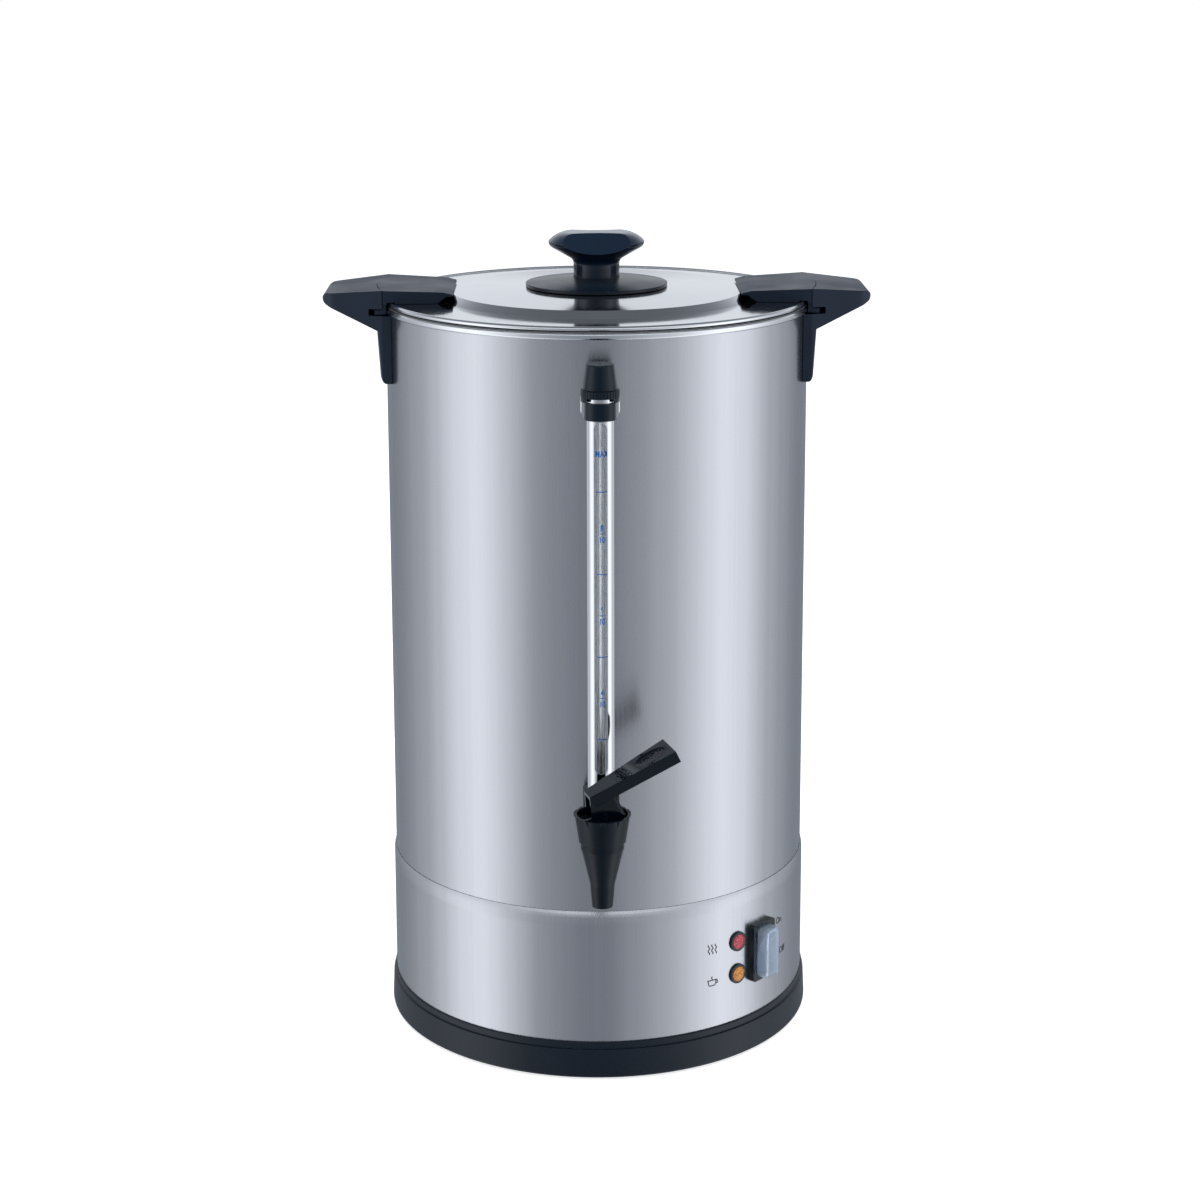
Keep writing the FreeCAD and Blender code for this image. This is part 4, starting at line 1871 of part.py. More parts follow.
SEAL_HALF = S.gauge_seal_thick / 2
gauge_seal = Piece("gauge_seal")
gauge_seal.spin([
    (S.glass_radius + S.slip_gap, -SEAL_HALF),
    (S.gauge_seal_radius, -SEAL_HALF, S.lip_edge),
    (S.gauge_seal_radius, SEAL_HALF, S.lip_edge),
    (S.glass_radius + S.slip_gap, SEAL_HALF),
])
SEAL_HEIGHTS = (S.gauge_gland + S.seat_gap + SEAL_HALF, S.gauge_ring_foot + S.seat_gap + SEAL_HALF)
SEAL_PLACES = [turned(0, Vector(0, -S.gauge_reach.value, z.value)) for z in SEAL_HEIGHTS]
group("gauge_seals", [(gauge_seal, SEAL_PLACES)])

# Tap
tap_body = keep(Piece("tap_body"))
tap_body.spin([
    (0, S.spout_foot),
    (S.spout_foot_radius, S.spout_foot),
    (S.spout_waist_radius, S.spout_waist),
    (S.chamber_radius, S.chamber_low),
    (S.chamber_radius, S.chamber_top),
    (S.neck_radius, S.chamber_top),
    (S.neck_radius, S.neck_top),
    (0, S.neck_top),
])
SHANK_NECK_END = S.tap_reach - S.shank_neck_back
tap_body.pad(Ring(0, S.shank_height, S.shank_neck), plane="XZ", length=SHANK_NECK_END, back=True)
tap_body.pad(Ring(0, S.shank_height, S.shank_radius), plane="XZ", length=S.tap_reach - S.shank_end, back=True)
tap_body.spin(
    [
        (0, S.spout_foot - 5),
        (S.outlet_bore, S.spout_foot - 5),
        (S.outlet_bore, S.valve_seat),
        (S.valve_seat_radius, S.valve_seat),
        (S.valve_bore, S.valve_taper_top),
        (S.valve_bore, S.neck_top + 5),
        (0, S.neck_top + 5),
    ],
    cut=True,
)
tap_body.cut(Ring(0, S.shank_height, S.shank_bore), plane="XZ", length=S.tap_reach, back=True)
tap_body.cut(
    Ring(0, S.tap_reach - S.gauge_reach, S.gauge_way), level=S.shank_height, length=S.shank_radius + 2,
)
tap_body.place(y=-S.tap_reach)


def washer_piece(name, near, far, hollow, keep_inside):
    """Build a washer between flat and drum-shaped faces."""
    piece = Piece(name)
    piece.pad(
        Ring(0, S.shank_height, S.tap_washer_radius), Ring(0, S.shank_height, S.shank_radius + S.screw_gap),
        plane="XZ", level=near, length=far - near,
    )
    low = S.shank_height - S.tap_washer_radius - 1
    high = S.shank_height + S.tap_washer_radius + 1
    if keep_inside:
        piece.spin(slab(hollow, low, hollow + 30, high), cut=True)
    else:
        piece.spin(slab(0, low, hollow, high), cut=True)
    return piece


outer_washer = washer_piece("tap_washer_outer", S.body_radius - 3, S.tap_washer_front, SADDLE_IN, False)
inner_washer = washer_piece(
    "tap_washer_inner", S.tap_washer_back, S.body_radius + 1, SHELL_INNER - S.seat_gap, True,
)
group("tap_washers", [(outer_washer, [Placement()]), (inner_washer, [Placement()])])

tap_nut = keep(Piece("tap_nut"))
NUT_FACE = S.tap_washer_back - S.seat_gap
tap_nut.pad(
    hexagon(S.tap_nut_flats), Ring(0, 0, S.shank_radius + S.slip_gap),
    level=S.tap_nut_back, length=NUT_FACE - S.tap_nut_back,
)
tap_nut.aim(0, S.shank_height)

bonnet = keep(Piece("tap_bonnet"))
BONNET_THREAD = S.neck_radius + S.seat_gap
STEM_ROOM = S.stem_radius + S.slip_gap
bonnet.spin([
    (BONNET_THREAD, S.bonnet_foot),
    (S.bonnet_foot_radius, S.bonnet_foot),
    (S.bonnet_radius, S.bonnet_top),
    (S.cup_top_radius, S.bonnet_top),
    (S.cup_radius, S.cup_floor),
    (STEM_ROOM, S.cup_floor),
    (STEM_ROOM, S.bonnet_roof),
    (BONNET_THREAD, S.bonnet_roof),
])
flute = bonnet.cut(
    Ring(0, -S.flute_reach, S.flute_radius), level=S.flute_foot, length=S.bonnet_top - S.flute_foot + 2,
)
bonnet.around([flute], S.flute_count)
bonnet.place(y=-S.tap_reach)

LEVER_TURN = S.lever_azimuth - 90
stem = keep(Piece("tap_stem"))
SHOULDER_TOP = S.stem_shoulder + S.stem_shoulder_thick
stem.spin([
    (0, S.stem_foot),
    (S.stem_radius, S.stem_foot),
    (S.stem_radius, S.stem_shoulder),
    (S.stem_shoulder_radius, S.stem_shoulder),
    (S.stem_shoulder_radius, SHOULDER_TOP),
    (S.stem_radius, SHOULDER_TOP),
    (S.stem_radius, S.stem_top, S.stem_edge),
    (0, S.stem_top),
])
stem.cut(
    Ring(0, S.pin_height, S.pin_radius + S.slip_gap), plane="XZ", middle=True, length=S.stem_radius * 3,
)
stem.place(y=-S.tap_reach, turn=LEVER_TURN)

seat_cup = keep(Piece("tap_seat_cup"))
CUP_FOOT = S.valve_seat + S.seat_gap
seat_cup.spin([
    (0, CUP_FOOT),
    (S.cup_plug_radius, CUP_FOOT, S.cup_plug_edge),
    (S.cup_plug_radius, S.stem_shoulder - S.seat_gap),
    (S.stem_radius + S.slip_gap, S.stem_shoulder - S.seat_gap),
    (S.stem_radius + S.slip_gap, S.stem_foot - S.seat_gap),
    (0, S.stem_foot - S.seat_gap),
])
seat_cup.place(y=-S.tap_reach)

SPRING_FOOT = SHOULDER_TOP + S.seat_gap + S.spring_wire
SPRING_TOP = S.bonnet_roof - S.seat_gap - S.spring_wire
SPRING_RISE = (SPRING_TOP - SPRING_FOOT).value
helix = Part.makeHelix(SPRING_RISE / S.spring_turns.value, SPRING_RISE, S.spring_radius.value)
wire = Part.Wire(helix.Edges)
coil_start = Vector(S.spring_radius.value, 0, 0)
coil_profile = Part.Wire([Part.makeCircle(S.spring_wire.value, coil_start, Vector(0, 1, 0.1))])
coil = wire.makePipeShell([coil_profile], True, True)
solid_node("tap_spring", coil, Placement(Vector(0, -S.tap_reach.value, SPRING_FOOT.value), Rotation()))

thrust_washer = keep(Piece("tap_thrust_washer"))
thrust_washer.spin(slab(STEM_ROOM + S.seat_gap, S.cup_floor + S.seat_gap, S.washer_radius, S.washer_top))
thrust_washer.place(y=-S.tap_reach)

tap_pin = keep(Piece("tap_pin"))
tap_pin.pad(Ring(0, 0, S.pin_radius), plane="XZ", middle=True, length=(S.lever_half - S.seat_gap) * 2)
tap_pin.place(y=-S.tap_reach, z=S.pin_height, turn=LEVER_TURN)

# The lever is drawn along its arm, with its pin at the origin
lever = keep(Piece("tap_lever"))
RISE = S.lever_rise
CAM_HEIGHT = S.pin_height - S.washer_top - S.cam_gap - S.cam_radius
CAM_OUT = root(S.cam_reach * S.cam_reach - CAM_HEIGHT * CAM_HEIGHT)


def in_arm(u, w):
    """Turn a spot given level with the ground into the arm's own directions."""
    return u * cosine(RISE) + w * sine(RISE), w * cosine(RISE) - u * sine(RISE)


CAM_X, CAM_Z = in_arm(CAM_OUT, -CAM_HEIGHT)
CAM_LOW_X = CAM_X - S.cam_radius * sine(RISE)
CAM_LOW_Z = CAM_Z - S.cam_radius * cosine(RISE)
ARM_LOW = S.lever_top - S.lever_depth
ROOF = S.lever_top - S.lever_roof
HUB_LOW = in_arm(Dim(-8.0), Dim(-2.3))
HUB_TOE = in_arm(Dim(-3.0), -(S.pin_height - S.washer_top - S.free_gap) + 0.1)
lever.loft(
    slab(-S.lever_half, ARM_LOW, S.lever_half, S.lever_top),
    slab(-S.lever_tip_half, ARM_LOW, S.lever_tip_half, S.lever_top),
    "YZ", -S.lever_back, S.lever_tip,
)
lever.pad(
    [
        (-S.lever_back, S.lever_top),
        HUB_LOW,
        HUB_TOE,
        (CAM_LOW_X, CAM_LOW_Z, None, S.cam_radius),
        (CAM_X + S.cam_radius, CAM_Z),
        (CAM_X + S.cam_radius - 1, ARM_LOW),
        (CAM_X + S.cam_radius - 1, ARM_LOW + 4),
    ],
    plane="XZ", middle=True, length=S.lever_half * 2,
)
HUB_IN = S.lever_half - S.lever_wall
TIP_IN = S.lever_tip_half - S.lever_wall
lever.cut(
    slab(-S.lever_back * 5, -S.cam_radius * 2, CAM_X + S.cam_radius * 2, ROOF),
    plane="XZ", middle=True, length=HUB_IN * 2,
)
lever.loft(
    slab(-HUB_IN, -S.cam_radius * 2, HUB_IN, ROOF),
    slab(-TIP_IN, -S.cam_radius * 2, TIP_IN, ROOF),
    "YZ", -S.lever_back, S.lever_tip - S.lever_wall, cut=True,
)
lever.cut(Ring(0, 0, S.pin_radius + S.slip_gap), plane="XZ", middle=True, length=S.lever_half * 3)
dish = lever.feature("PartDesign::SubtractiveEllipsoid", "dish")
for path, size in (("Radius1", S.dish_deep), ("Radius2", S.dish_long), ("Radius3", S.dish_wide)):
    setattr(dish, path, size.value)
    bind(dish, path, size)
dish.Placement = Placement(Vector(S.dish_x.value, 0, S.lever_top.value), Rotation())
lever.place(
    y=-S.tap_reach, z=S.pin_height, turn=LEVER_TURN, rotation=Rotation(Vector(0, 1, 0), -RISE.value),
)

# Wiring
WIRE = S.wire_radius.value
SWITCH_TURN = math.radians(S.switch_azimuth.value)
LAMP_TURN = math.radians(S.lamp_azimuth.value)


def inside(azimuth, radius, height):
    """Return a spot inside the housing, given by its azimuth from the tap."""
    return Vector(radius * math.sin(azimuth), -radius * math.cos(azimuth), height)


BLOCK_BACK = S.block_y.value + S.block_half_depth.value
BLOCK_FRONT = S.block_y.value - S.block_half_depth.value
WIRE_DEPTH = 3
BLOCK_MID = (DECK + S.block_height / 2).value
BLOCK_LEFT = S.block_x.value - S.block_pitch.value / 2
BLOCK_RIGHT = S.block_x.value + S.block_pitch.value / 2
INLET_Z = S.inlet_height.value
PIN_END = S.pin_back.value - 0.3
SPREAD = S.pin_spread.value
BLADE = S.switch_blade_back.value - 0.3 - WIRE
SWITCH_Z = S.switch_height.value
GAP_HALF = math.radians(S.element_gap_angle.value / 2)
MAIN_END_X = S.main_ring.value * math.sin(GAP_HALF) - S.element_bend.value * math.cos(GAP_HALF)
MAIN_END_Y = S.main_ring.value * math.cos(GAP_HALF) + S.element_bend.value * math.sin(GAP_HALF)
MAIN_END_Z = MAIN_HEIGHT - S.element_bend.value - S.element_tail.value - 0.3
LEAD = S.wire_lead.value
LAMP_END = inside(LAMP_TURN, S.lamp_back.value - 0.5, S.heating_lamp_height.value)
SWITCH_LOW = inside(SWITCH_TURN, BLADE, SWITCH_Z)
SWITCH_HIGH = inside(SWITCH_TURN, BLADE, SWITCH_Z + BLADE_PITCH)
OUT = inside(SWITCH_TURN, 1, 0)
LAMP_OUT = inside(LAMP_TURN, 1, 0)
MAIN_END = Vector(MAIN_END_X, MAIN_END_Y, MAIN_END_Z)
HOLD_END = Vector(-MAIN_END_X, MAIN_END_Y, MAIN_END_Z)
BOIL_END = Vector(BOIL_X.value, BOIL_Y.value, (THERMOSTAT_FOOT - S.blade_length).value - 3)
CUTOUT_END = Vector(S.cutout_x.value - 8, S.cutout_y.value, (CUTOUT_TOP + S.free_gap).value)
EARTH_END = Vector(-14, S.block_y.value + 5, (COVER_TOP + S.free_gap).value)
LIVE_PIN = Vector(SPREAD, PIN_END, INLET_Z)
NEUTRAL_PIN = Vector(-SPREAD, PIN_END, INLET_Z)
EARTH_PIN = Vector(0, PIN_END, INLET_Z + S.pin_rise.value)
AHEAD = Vector(0, LEAD, 0)
BELOW = Vector(0, 0, -LEAD)
LEFT_BACK = Vector(BLOCK_LEFT, BLOCK_BACK, BLOCK_MID)
LEFT_FRONT = Vector(BLOCK_LEFT, BLOCK_FRONT, BLOCK_MID)
RIGHT_FRONT = Vector(BLOCK_RIGHT, BLOCK_FRONT, BLOCK_MID)
GRIP = Vector(0, WIRE_DEPTH, 0)
HALFWAY_UP = (INLET_Z + BLOCK_MID) / 2
ROUTES = [
    [LIVE_PIN, LIVE_PIN - AHEAD, LEFT_BACK + AHEAD, LEFT_BACK - GRIP],
    [
        NEUTRAL_PIN, NEUTRAL_PIN - AHEAD, Vector(CUTOUT_END.x, 0, INLET_Z + WIRE_DEPTH),
        CUTOUT_END - BELOW - BELOW, CUTOUT_END,
    ],
    [EARTH_PIN, EARTH_PIN - AHEAD, EARTH_END - BELOW - BELOW, EARTH_END],
    [
        RIGHT_FRONT + GRIP, RIGHT_FRONT - AHEAD, Vector(BLOCK_RIGHT, -S.block_y.value / 2, HALFWAY_UP),
        SWITCH_LOW - OUT * LEAD, SWITCH_LOW,
    ],
    [SWITCH_HIGH, SWITCH_HIGH - OUT * LEAD, MAIN_END + BELOW, MAIN_END],
    [BOIL_END, BOIL_END + BELOW, HOLD_END + BELOW, HOLD_END],
    [
        LAMP_END, LAMP_END - LAMP_OUT * LEAD, Vector(BLOCK_LEFT, -S.block_y.value / 2, HALFWAY_UP),
        LEFT_FRONT - AHEAD, LEFT_FRONT + GRIP,
    ],
]
wires = [bent(route, WIRE, S.wire_bend.value) for route in ROUTES]
solid_node("wiring", Part.makeCompound(wires))

# Check and export
doc.recompute()
for item in doc.Objects:
    states = [state for state in item.State if state in ("Invalid", "Error")]
    if states:
        raise RuntimeError("%s did not build: %s" % (item.Name, states))
for node in NODES:
    if node.Shape.isNull() or not node.Shape.isValid():
        raise RuntimeError("%s has no valid shape" % node.Label)
for node in NODES:
    node.Shape.exportStep("parts/%s.step" % node.Label)
print("%d pieces" % len(NODES))
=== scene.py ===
"""Looks of the hot water urn: finishes, fine visible details, studio light and camera.

Every sub-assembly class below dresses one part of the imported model. Sizes are in millimetres and are turned
into metres where a mesh is made.
"""

import logging
import math
from dataclasses import dataclass
from dataclasses import field
from enum import Enum
from typing import Callable
from typing import Sequence

import bmesh
import bpy
from mathutils import Euler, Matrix
from mathutils import Vector

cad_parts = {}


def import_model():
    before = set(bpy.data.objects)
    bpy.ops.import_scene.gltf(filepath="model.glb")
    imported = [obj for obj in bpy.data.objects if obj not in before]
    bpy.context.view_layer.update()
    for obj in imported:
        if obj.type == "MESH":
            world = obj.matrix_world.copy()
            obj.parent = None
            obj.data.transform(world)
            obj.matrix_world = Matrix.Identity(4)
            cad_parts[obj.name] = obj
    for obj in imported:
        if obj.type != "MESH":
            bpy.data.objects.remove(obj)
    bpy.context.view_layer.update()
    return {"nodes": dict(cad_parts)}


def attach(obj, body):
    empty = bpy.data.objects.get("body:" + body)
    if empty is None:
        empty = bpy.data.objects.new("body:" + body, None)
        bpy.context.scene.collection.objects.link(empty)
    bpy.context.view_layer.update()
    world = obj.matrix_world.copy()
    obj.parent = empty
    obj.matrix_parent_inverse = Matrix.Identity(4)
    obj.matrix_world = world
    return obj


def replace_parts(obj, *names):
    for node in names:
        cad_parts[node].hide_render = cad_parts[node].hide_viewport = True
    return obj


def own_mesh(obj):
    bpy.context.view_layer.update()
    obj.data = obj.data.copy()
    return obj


LOG = logging.getLogger("urn_looks")
MM = 0.001

Colour = tuple[float, float, float]
Nodes = dict[str, bpy.types.Object]
Socket = bpy.types.NodeSocket
Placing = Callable[[float, float, float], Vector]
Outline = Sequence[tuple[float, float]]


class Grain(Enum):
    """Direction of a brushed surface's fine lines, as a stretch of the noise along X, Y and Z."""

    NONE = (1.0, 1.0, 1.0)
    UPRIGHT = (1.0, 1.0, 0.0015)
    LEVEL = (0.03, 0.03, 1.0)


class Texture(Enum):
    """Small surface relief of a moulded piece."""

    SMOOTH = 0
    ORANGE_PEEL = 1
    SPARK = 2


def on_drum(azimuth: float, radius: float, height: float) -> Vector:
    """Gives a point by its angle round the urn.

    Args:
        azimuth: degrees from the tap, positive to the right when seen from the front.
        radius: distance from the urn's axis in millimetres.
        height: height above the floor in millimetres.

    Returns:
        The point in metres.
    """
    turn = math.radians(azimuth)
    return Vector((math.sin(turn) * radius, -math.cos(turn) * radius, height)) * MM


class Painter:
    """Builds the node tree of one material, one node at a time."""

    def __init__(self, name: str) -> None:
        """Makes the material and its principled shader.

        Args:
            name: name of the material.
        """
        self.material = bpy.data.materials.new(name)
        self.material.use_nodes = True
        self.tree = self.material.node_tree
        self.tree.nodes.clear()
        self.output = self.tree.nodes.new("ShaderNodeOutputMaterial")
        self.shader = self.tree.nodes.new("ShaderNodeBsdfPrincipled")
        self.tree.links.new(self.shader.outputs["BSDF"], self.output.inputs["Surface"])

    def node(self, kind: str, **settings: object) -> bpy.types.Node:
        """Adds a node.

        Args:
            kind: Blender's name of the node type.
            **settings: properties of the node.

        Returns:
            The node.
        """
        made = self.tree.nodes.new(kind)
        for key, value in settings.items():
            setattr(made, key, value)
        return made

    def link(self, start: Socket, end: Socket) -> None:
        """Links one socket to another."""
        self.tree.links.new(start, end)

    def set(self, socket: str, value: object) -> None:
        """Sets a constant on the principled shader's own socket."""
        self.shader.inputs[socket].default_value = value

    def drive(self, socket: str, source: Socket) -> None:
        """Links a varying value to the principled shader."""
        self.link(source, self.shader.inputs[socket])

    def place(self, stretch: Sequence[float] = (1.0, 1.0, 1.0)) -> Socket:
        """Gives object coordinates, stretched along each axis.

        Args:
            stretch: factor of each axis.

        Returns:
            The vector socket.
        """
        coordinates = self.node("ShaderNodeTexCoord")
        mapping = self.node("ShaderNodeMapping")
        mapping.inputs["Scale"].default_value = stretch
        self.link(coordinates.outputs["Object"], mapping.inputs["Vector"])
        return mapping.outputs["Vector"]

    def noise(self, scale: float, detail: float = 3.0, stretch: Sequence[float] = (1.0, 1.0, 1.0)) -> Socket:
        """Adds a noise pattern.

        Args:
            scale: features per metre.
            detail: number of octaves.
            stretch: factor of each axis.

        Returns:
            The value socket.
        """
        made = self.node("ShaderNodeTexNoise")
        made.inputs["Scale"].default_value = scale
        made.inputs["Detail"].default_value = detail
        self.link(self.place(stretch), made.inputs["Vector"])
        return made.outputs["Fac"]

    def remap(self, source: Socket, low: float, high: float, start: float = 0.3, end: float = 0.7) -> Socket:
        """Maps a value from start..end to low..high.

        Args:
            source: the value.
            low: result at start.
            high: result at end.
            start: lower end of the source.
            end: upper end of the source.

        Returns:
            The mapped value.
        """
        made = self.node("ShaderNodeMapRange")
        made.inputs["From Min"].default_value = start
        made.inputs["From Max"].default_value = end
        made.inputs["To Min"].default_value = low
        made.inputs["To Max"].default_value = high
        self.link(source, made.inputs["Value"])
        return made.outputs["Result"]

    def blend(self, source: Socket, first: Colour, second: Colour) -> Socket:
        """Mixes two colours by a value.

        Args:
            source: the value, 0 for the first colour.
            first: first colour.
            second: second colour.

        Returns:
            The colour socket.
        """
        made = self.node("ShaderNodeMix", data_type="RGBA")
        sockets = [s for s in made.inputs if s.name in ("A", "B") and s.type == "RGBA"]
        sockets[0].default_value = (*first, 1.0)
        sockets[1].default_value = (*second, 1.0)
        self.link(source, made.inputs["Factor"])
        return [s for s in made.outputs if s.type == "RGBA"][0]

    def facets(self, scale: float) -> Socket:
        """Adds a pattern of small cells, dark in their middles.

        Args:
            scale: cells per metre.

        Returns:
            The distance from each cell's middle.
        """
        made = self.node("ShaderNodeTexVoronoi")
        made.inputs["Scale"].default_value = scale
        self.link(self.place(), made.inputs["Vector"])
        return made.outputs["Distance"]

    def height(self) -> Socket:
        """Gives the height above the floor in metres."""
        split = self.node("ShaderNodeSeparateXYZ")
        self.link(self.place(), split.inputs["Vector"])
        return split.outputs["Z"]

    def bump(self, height: Socket, depth: float, normal: Socket | None = None) -> Socket:
        """Adds a bump pattern.

        Args:
            height: the pattern, 0 to 1.
            depth: its depth in metres.
            normal: the normal that the pattern is laid over.

        Returns:
            The normal.
        """
        made = self.node("ShaderNodeBump")
        made.inputs["Strength"].default_value = 1.0
        made.inputs["Distance"].default_value = depth
        self.link(height, made.inputs["Height"])
        if normal is not None:
            self.link(normal, made.inputs["Normal"])
        return made.outputs["Normal"]

    def relief(self, height: Socket, depth: float, edge: float) -> None:
        """Adds a bump pattern and rounded edges to the normal.

        Args:
            height: the pattern, 0 to 1.
            depth: its depth in metres.
            edge: radius of the rounded edges in metres.
        """
        normal = None
        if edge > 0.0:
            bevel = self.node("ShaderNodeBevel", samples=4)
            bevel.inputs["Radius"].default_value = edge
            normal = bevel.outputs["Normal"]
        self.drive("Normal", self.bump(height, depth, normal))


def shade(colour: Colour, factor: float) -> Colour:
    """Makes a colour lighter or darker by a factor."""
    return (colour[0] * factor, colour[1] * factor, colour[2] * factor)


@dataclass(frozen=True)
class MetalFinish:
    """A bare metal: its colour, its gloss, and the lines its making left in it."""

    name: str
    tint: Colour
    roughness: float
    grain: Grain = Grain.NONE
    grain_scale: float = 900.0
    grain_depth: float = 2.0e-6
    cloud: float = 0.03
    edge: float = 0.0002
    streak: float = 0.96
    spread: float = 0.0
    shoulder: tuple[float, float, float] | None = None

    def paint(self) -> bpy.types.Material:
        """Builds the material.

        Returns:
            The material.
        """
        paint = Painter(self.name)
        paint.set("Metallic", 1.0)
        paint.set("Anisotropic", self.spread)
        paint.set("Anisotropic Rotation", 0.25)
        lines = paint.noise(self.grain_scale, 4.0, self.grain.value)
        clouds = paint.noise(14.0 if self.grain is Grain.NONE else 90.0, 2.0, self.grain.value)
        dull = shade(self.tint, self.streak)
        paint.drive("Base Color", paint.blend(paint.remap(clouds, 0.0, 1.0), dull, self.tint))
        low = max(self.roughness - self.cloud, 0.02)
        paint.drive("Roughness", paint.remap(lines, low, self.roughness + self.cloud))
        if self.shoulder is None:
            paint.relief(lines, self.grain_depth, self.edge)
        else:
            start, end, drop = self.shoulder
            fall = paint.remap(paint.height(), 1.0, 0.0, start, end)
            fall.node.interpolation_type = "SMOOTHSTEP"
            paint.drive("Normal", paint.bump(lines, self.grain_depth, paint.bump(fall, drop)))
        return paint.material


@dataclass(frozen=True)
class PlasticFinish:
    """A moulded plastic or rubber: its colour, its gloss and its mould's texture."""

    name: str
    tint: Colour
    roughness: float
    texture: Texture = Texture.SPARK
    edge: float = 0.0004
    specular: float = 0.5

    def paint(self) -> bpy.types.Material:
        """Builds the material.

        Returns:
            The material.
        """
        scale = {Texture.SMOOTH: 120.0, Texture.ORANGE_PEEL: 260.0, Texture.SPARK: 2600.0}[self.texture]
        depth = {Texture.SMOOTH: 2.0e-6, Texture.ORANGE_PEEL: 8.0e-6, Texture.SPARK: 1.2e-5}[self.texture]
        paint = Painter(self.name)
        grain = paint.noise(scale, 3.0)
        handling = paint.noise(38.0, 3.0)
        paint.set("Specular IOR Level", self.specular)
        worn = shade(self.tint, 0.85)
        paint.drive("Base Color", paint.blend(paint.remap(handling, 0.0, 1.0), worn, self.tint))
        low = max(self.roughness * 0.85, 0.03)
        paint.drive("Roughness", paint.remap(handling, low, self.roughness * 1.15))
        paint.relief(grain, depth, self.edge)
        return paint.material


@dataclass(frozen=True)
class ClearFinish:
    """A clear or tinted see-through piece."""

    name: str
    tint: Colour
    roughness: float
    transmission: float
    ior: float
    ripple: float = 4.0e-6

    def paint(self) -> bpy.types.Material:
        """Builds the material.

        Returns:
            The material.
        """
        paint = Painter(self.name)
        ripple = paint.noise(180.0, 2.0)
        paint.set("Base Color", (*self.tint, 1.0))
        paint.set("Transmission Weight", self.transmission)
        paint.set("IOR", self.ior)
        low = max(self.roughness * 0.8, 0.0)
        paint.drive("Roughness", paint.remap(ripple, low, self.roughness * 1.2 + 0.01))
        paint.relief(ripple, self.ripple, 0.0)
        return paint.material


@dataclass(frozen=True)
class LensFinish:
    """A moulded lamp lens whose small prisms are drawn as cells with painted highlights: each cell is lighter
    towards its rim.
    """

    name: str
    dark: Colour
    # the colour of the painted highlights in the prisms
    light: Colour
    cells: float = 900.0
    glow: float = 0.05

    def paint(self) -> bpy.types.Material:
        """Builds the material.

        Returns:
            The material.
        """
        paint = Painter(self.name)
        prisms = paint.facets(self.cells)
        # Painted highlight: the lens goes from its dark colour in each prism's middle to the light colour at
        # its rim.
        painted_glint = paint.remap(prisms, 0.0, 1.0, 0.15, 0.75)
        paint.drive("Base Color", paint.blend(painted_glint, self.dark, self.light))
        paint.drive("Roughness", paint.remap(prisms, 0.08, 0.22))
        paint.set("Transmission Weight", 0.2)
        paint.set("Emission Color", (*self.dark, 1.0))
        paint.set("Emission Strength", self.glow)
        paint.drive("Normal", paint.bump(prisms, 3.0e-4))
        return paint.material


@dataclass(frozen=True)
class InkFinish:
    """Printed ink, slightly uneven in its cover."""

    name: str
    tint: Colour

    def paint(self) -> bpy.types.Material:
        """Builds the material.

        Returns:
            The material.
        """
        paint = Painter(self.name)
        cover = paint.noise(3000.0, 2.0)
        paint.drive("Base Color", paint.blend(paint.remap(cover, 0.0, 1.0), shade(self.tint, 0.8), self.tint))
        paint.drive("Roughness", paint.remap(cover, 0.35, 0.5))
        return paint.material


Finish = MetalFinish | PlasticFinish | ClearFinish | LensFinish | InkFinish

SATIN_TINT = (0.60, 0.605, 0.63)
SATIN_STEEL = MetalFinish(
    "satin_steel", SATIN_TINT, 0.26, Grain.UPRIGHT, 1400.0, 1.0e-6, 0.03, 0.0002, 0.93, 0.6,
)
HOUSING_STEEL = MetalFinish(
    "housing_steel", SATIN_TINT, 0.26, Grain.UPRIGHT, 1400.0, 1.0e-6, 0.03, 0.0002, 0.93, 0.6,
    (0.1010, 0.1112, 0.0015),
)
INNER_STEEL = MetalFinish("inner_steel", (0.58, 0.585, 0.60), 0.30, Grain.LEVEL, 900.0, 2.0e-6)
LID_STEEL = MetalFinish("lid_steel", (0.66, 0.665, 0.68), 0.10, Grain.NONE, 60.0, 2.0e-6, 0.02)
ROLLED_STEEL = MetalFinish("rolled_steel", (0.82, 0.825, 0.84), 0.18, Grain.NONE, 60.0, 1.0e-6, 0.02, 0.0)
BRIGHT_STEEL = MetalFinish("bright_steel", (0.80, 0.805, 0.82), 0.09, Grain.UPRIGHT, 700.0, 5.0e-7, 0.02)
ZINC_STEEL = MetalFinish("zinc_steel", (0.55, 0.56, 0.58), 0.33, Grain.NONE, 500.0, 4.0e-6, 0.08)
CAST_PLATE = MetalFinish("cast_plate", (0.50, 0.50, 0.51), 0.48, Grain.NONE, 800.0, 2.0e-5, 0.08)
ELEMENT_STEEL = MetalFinish("element_steel", (0.33, 0.31, 0.29), 0.42, Grain.NONE, 300.0, 5.0e-6, 0.08)
COPPER = MetalFinish("copper", (0.75, 0.38, 0.26), 0.28, Grain.NONE, 400.0, 3.0e-6, 0.08)
BRASS = MetalFinish("brass", (0.72, 0.55, 0.26), 0.28, Grain.NONE, 400.0, 3.0e-6, 0.08)
HANDLE_PLASTIC = PlasticFinish("handle_plastic", (0.003, 0.011, 0.026), 0.42, Texture.SPARK, 0.0008, 0.34)
BASE_PLASTIC = PlasticFinish("base_plastic", (0.002, 0.007, 0.015), 0.28, Texture.SPARK, 0.0007, 0.34)
GLOSS_PLASTIC = PlasticFinish("gloss_plastic", (0.001, 0.004, 0.008), 0.10, Texture.ORANGE_PEEL, 0.0007, 0.24)
NAVY_PLASTIC = PlasticFinish("navy_plastic", (0.003, 0.012, 0.028), 0.14, Texture.ORANGE_PEEL, 0.0006)
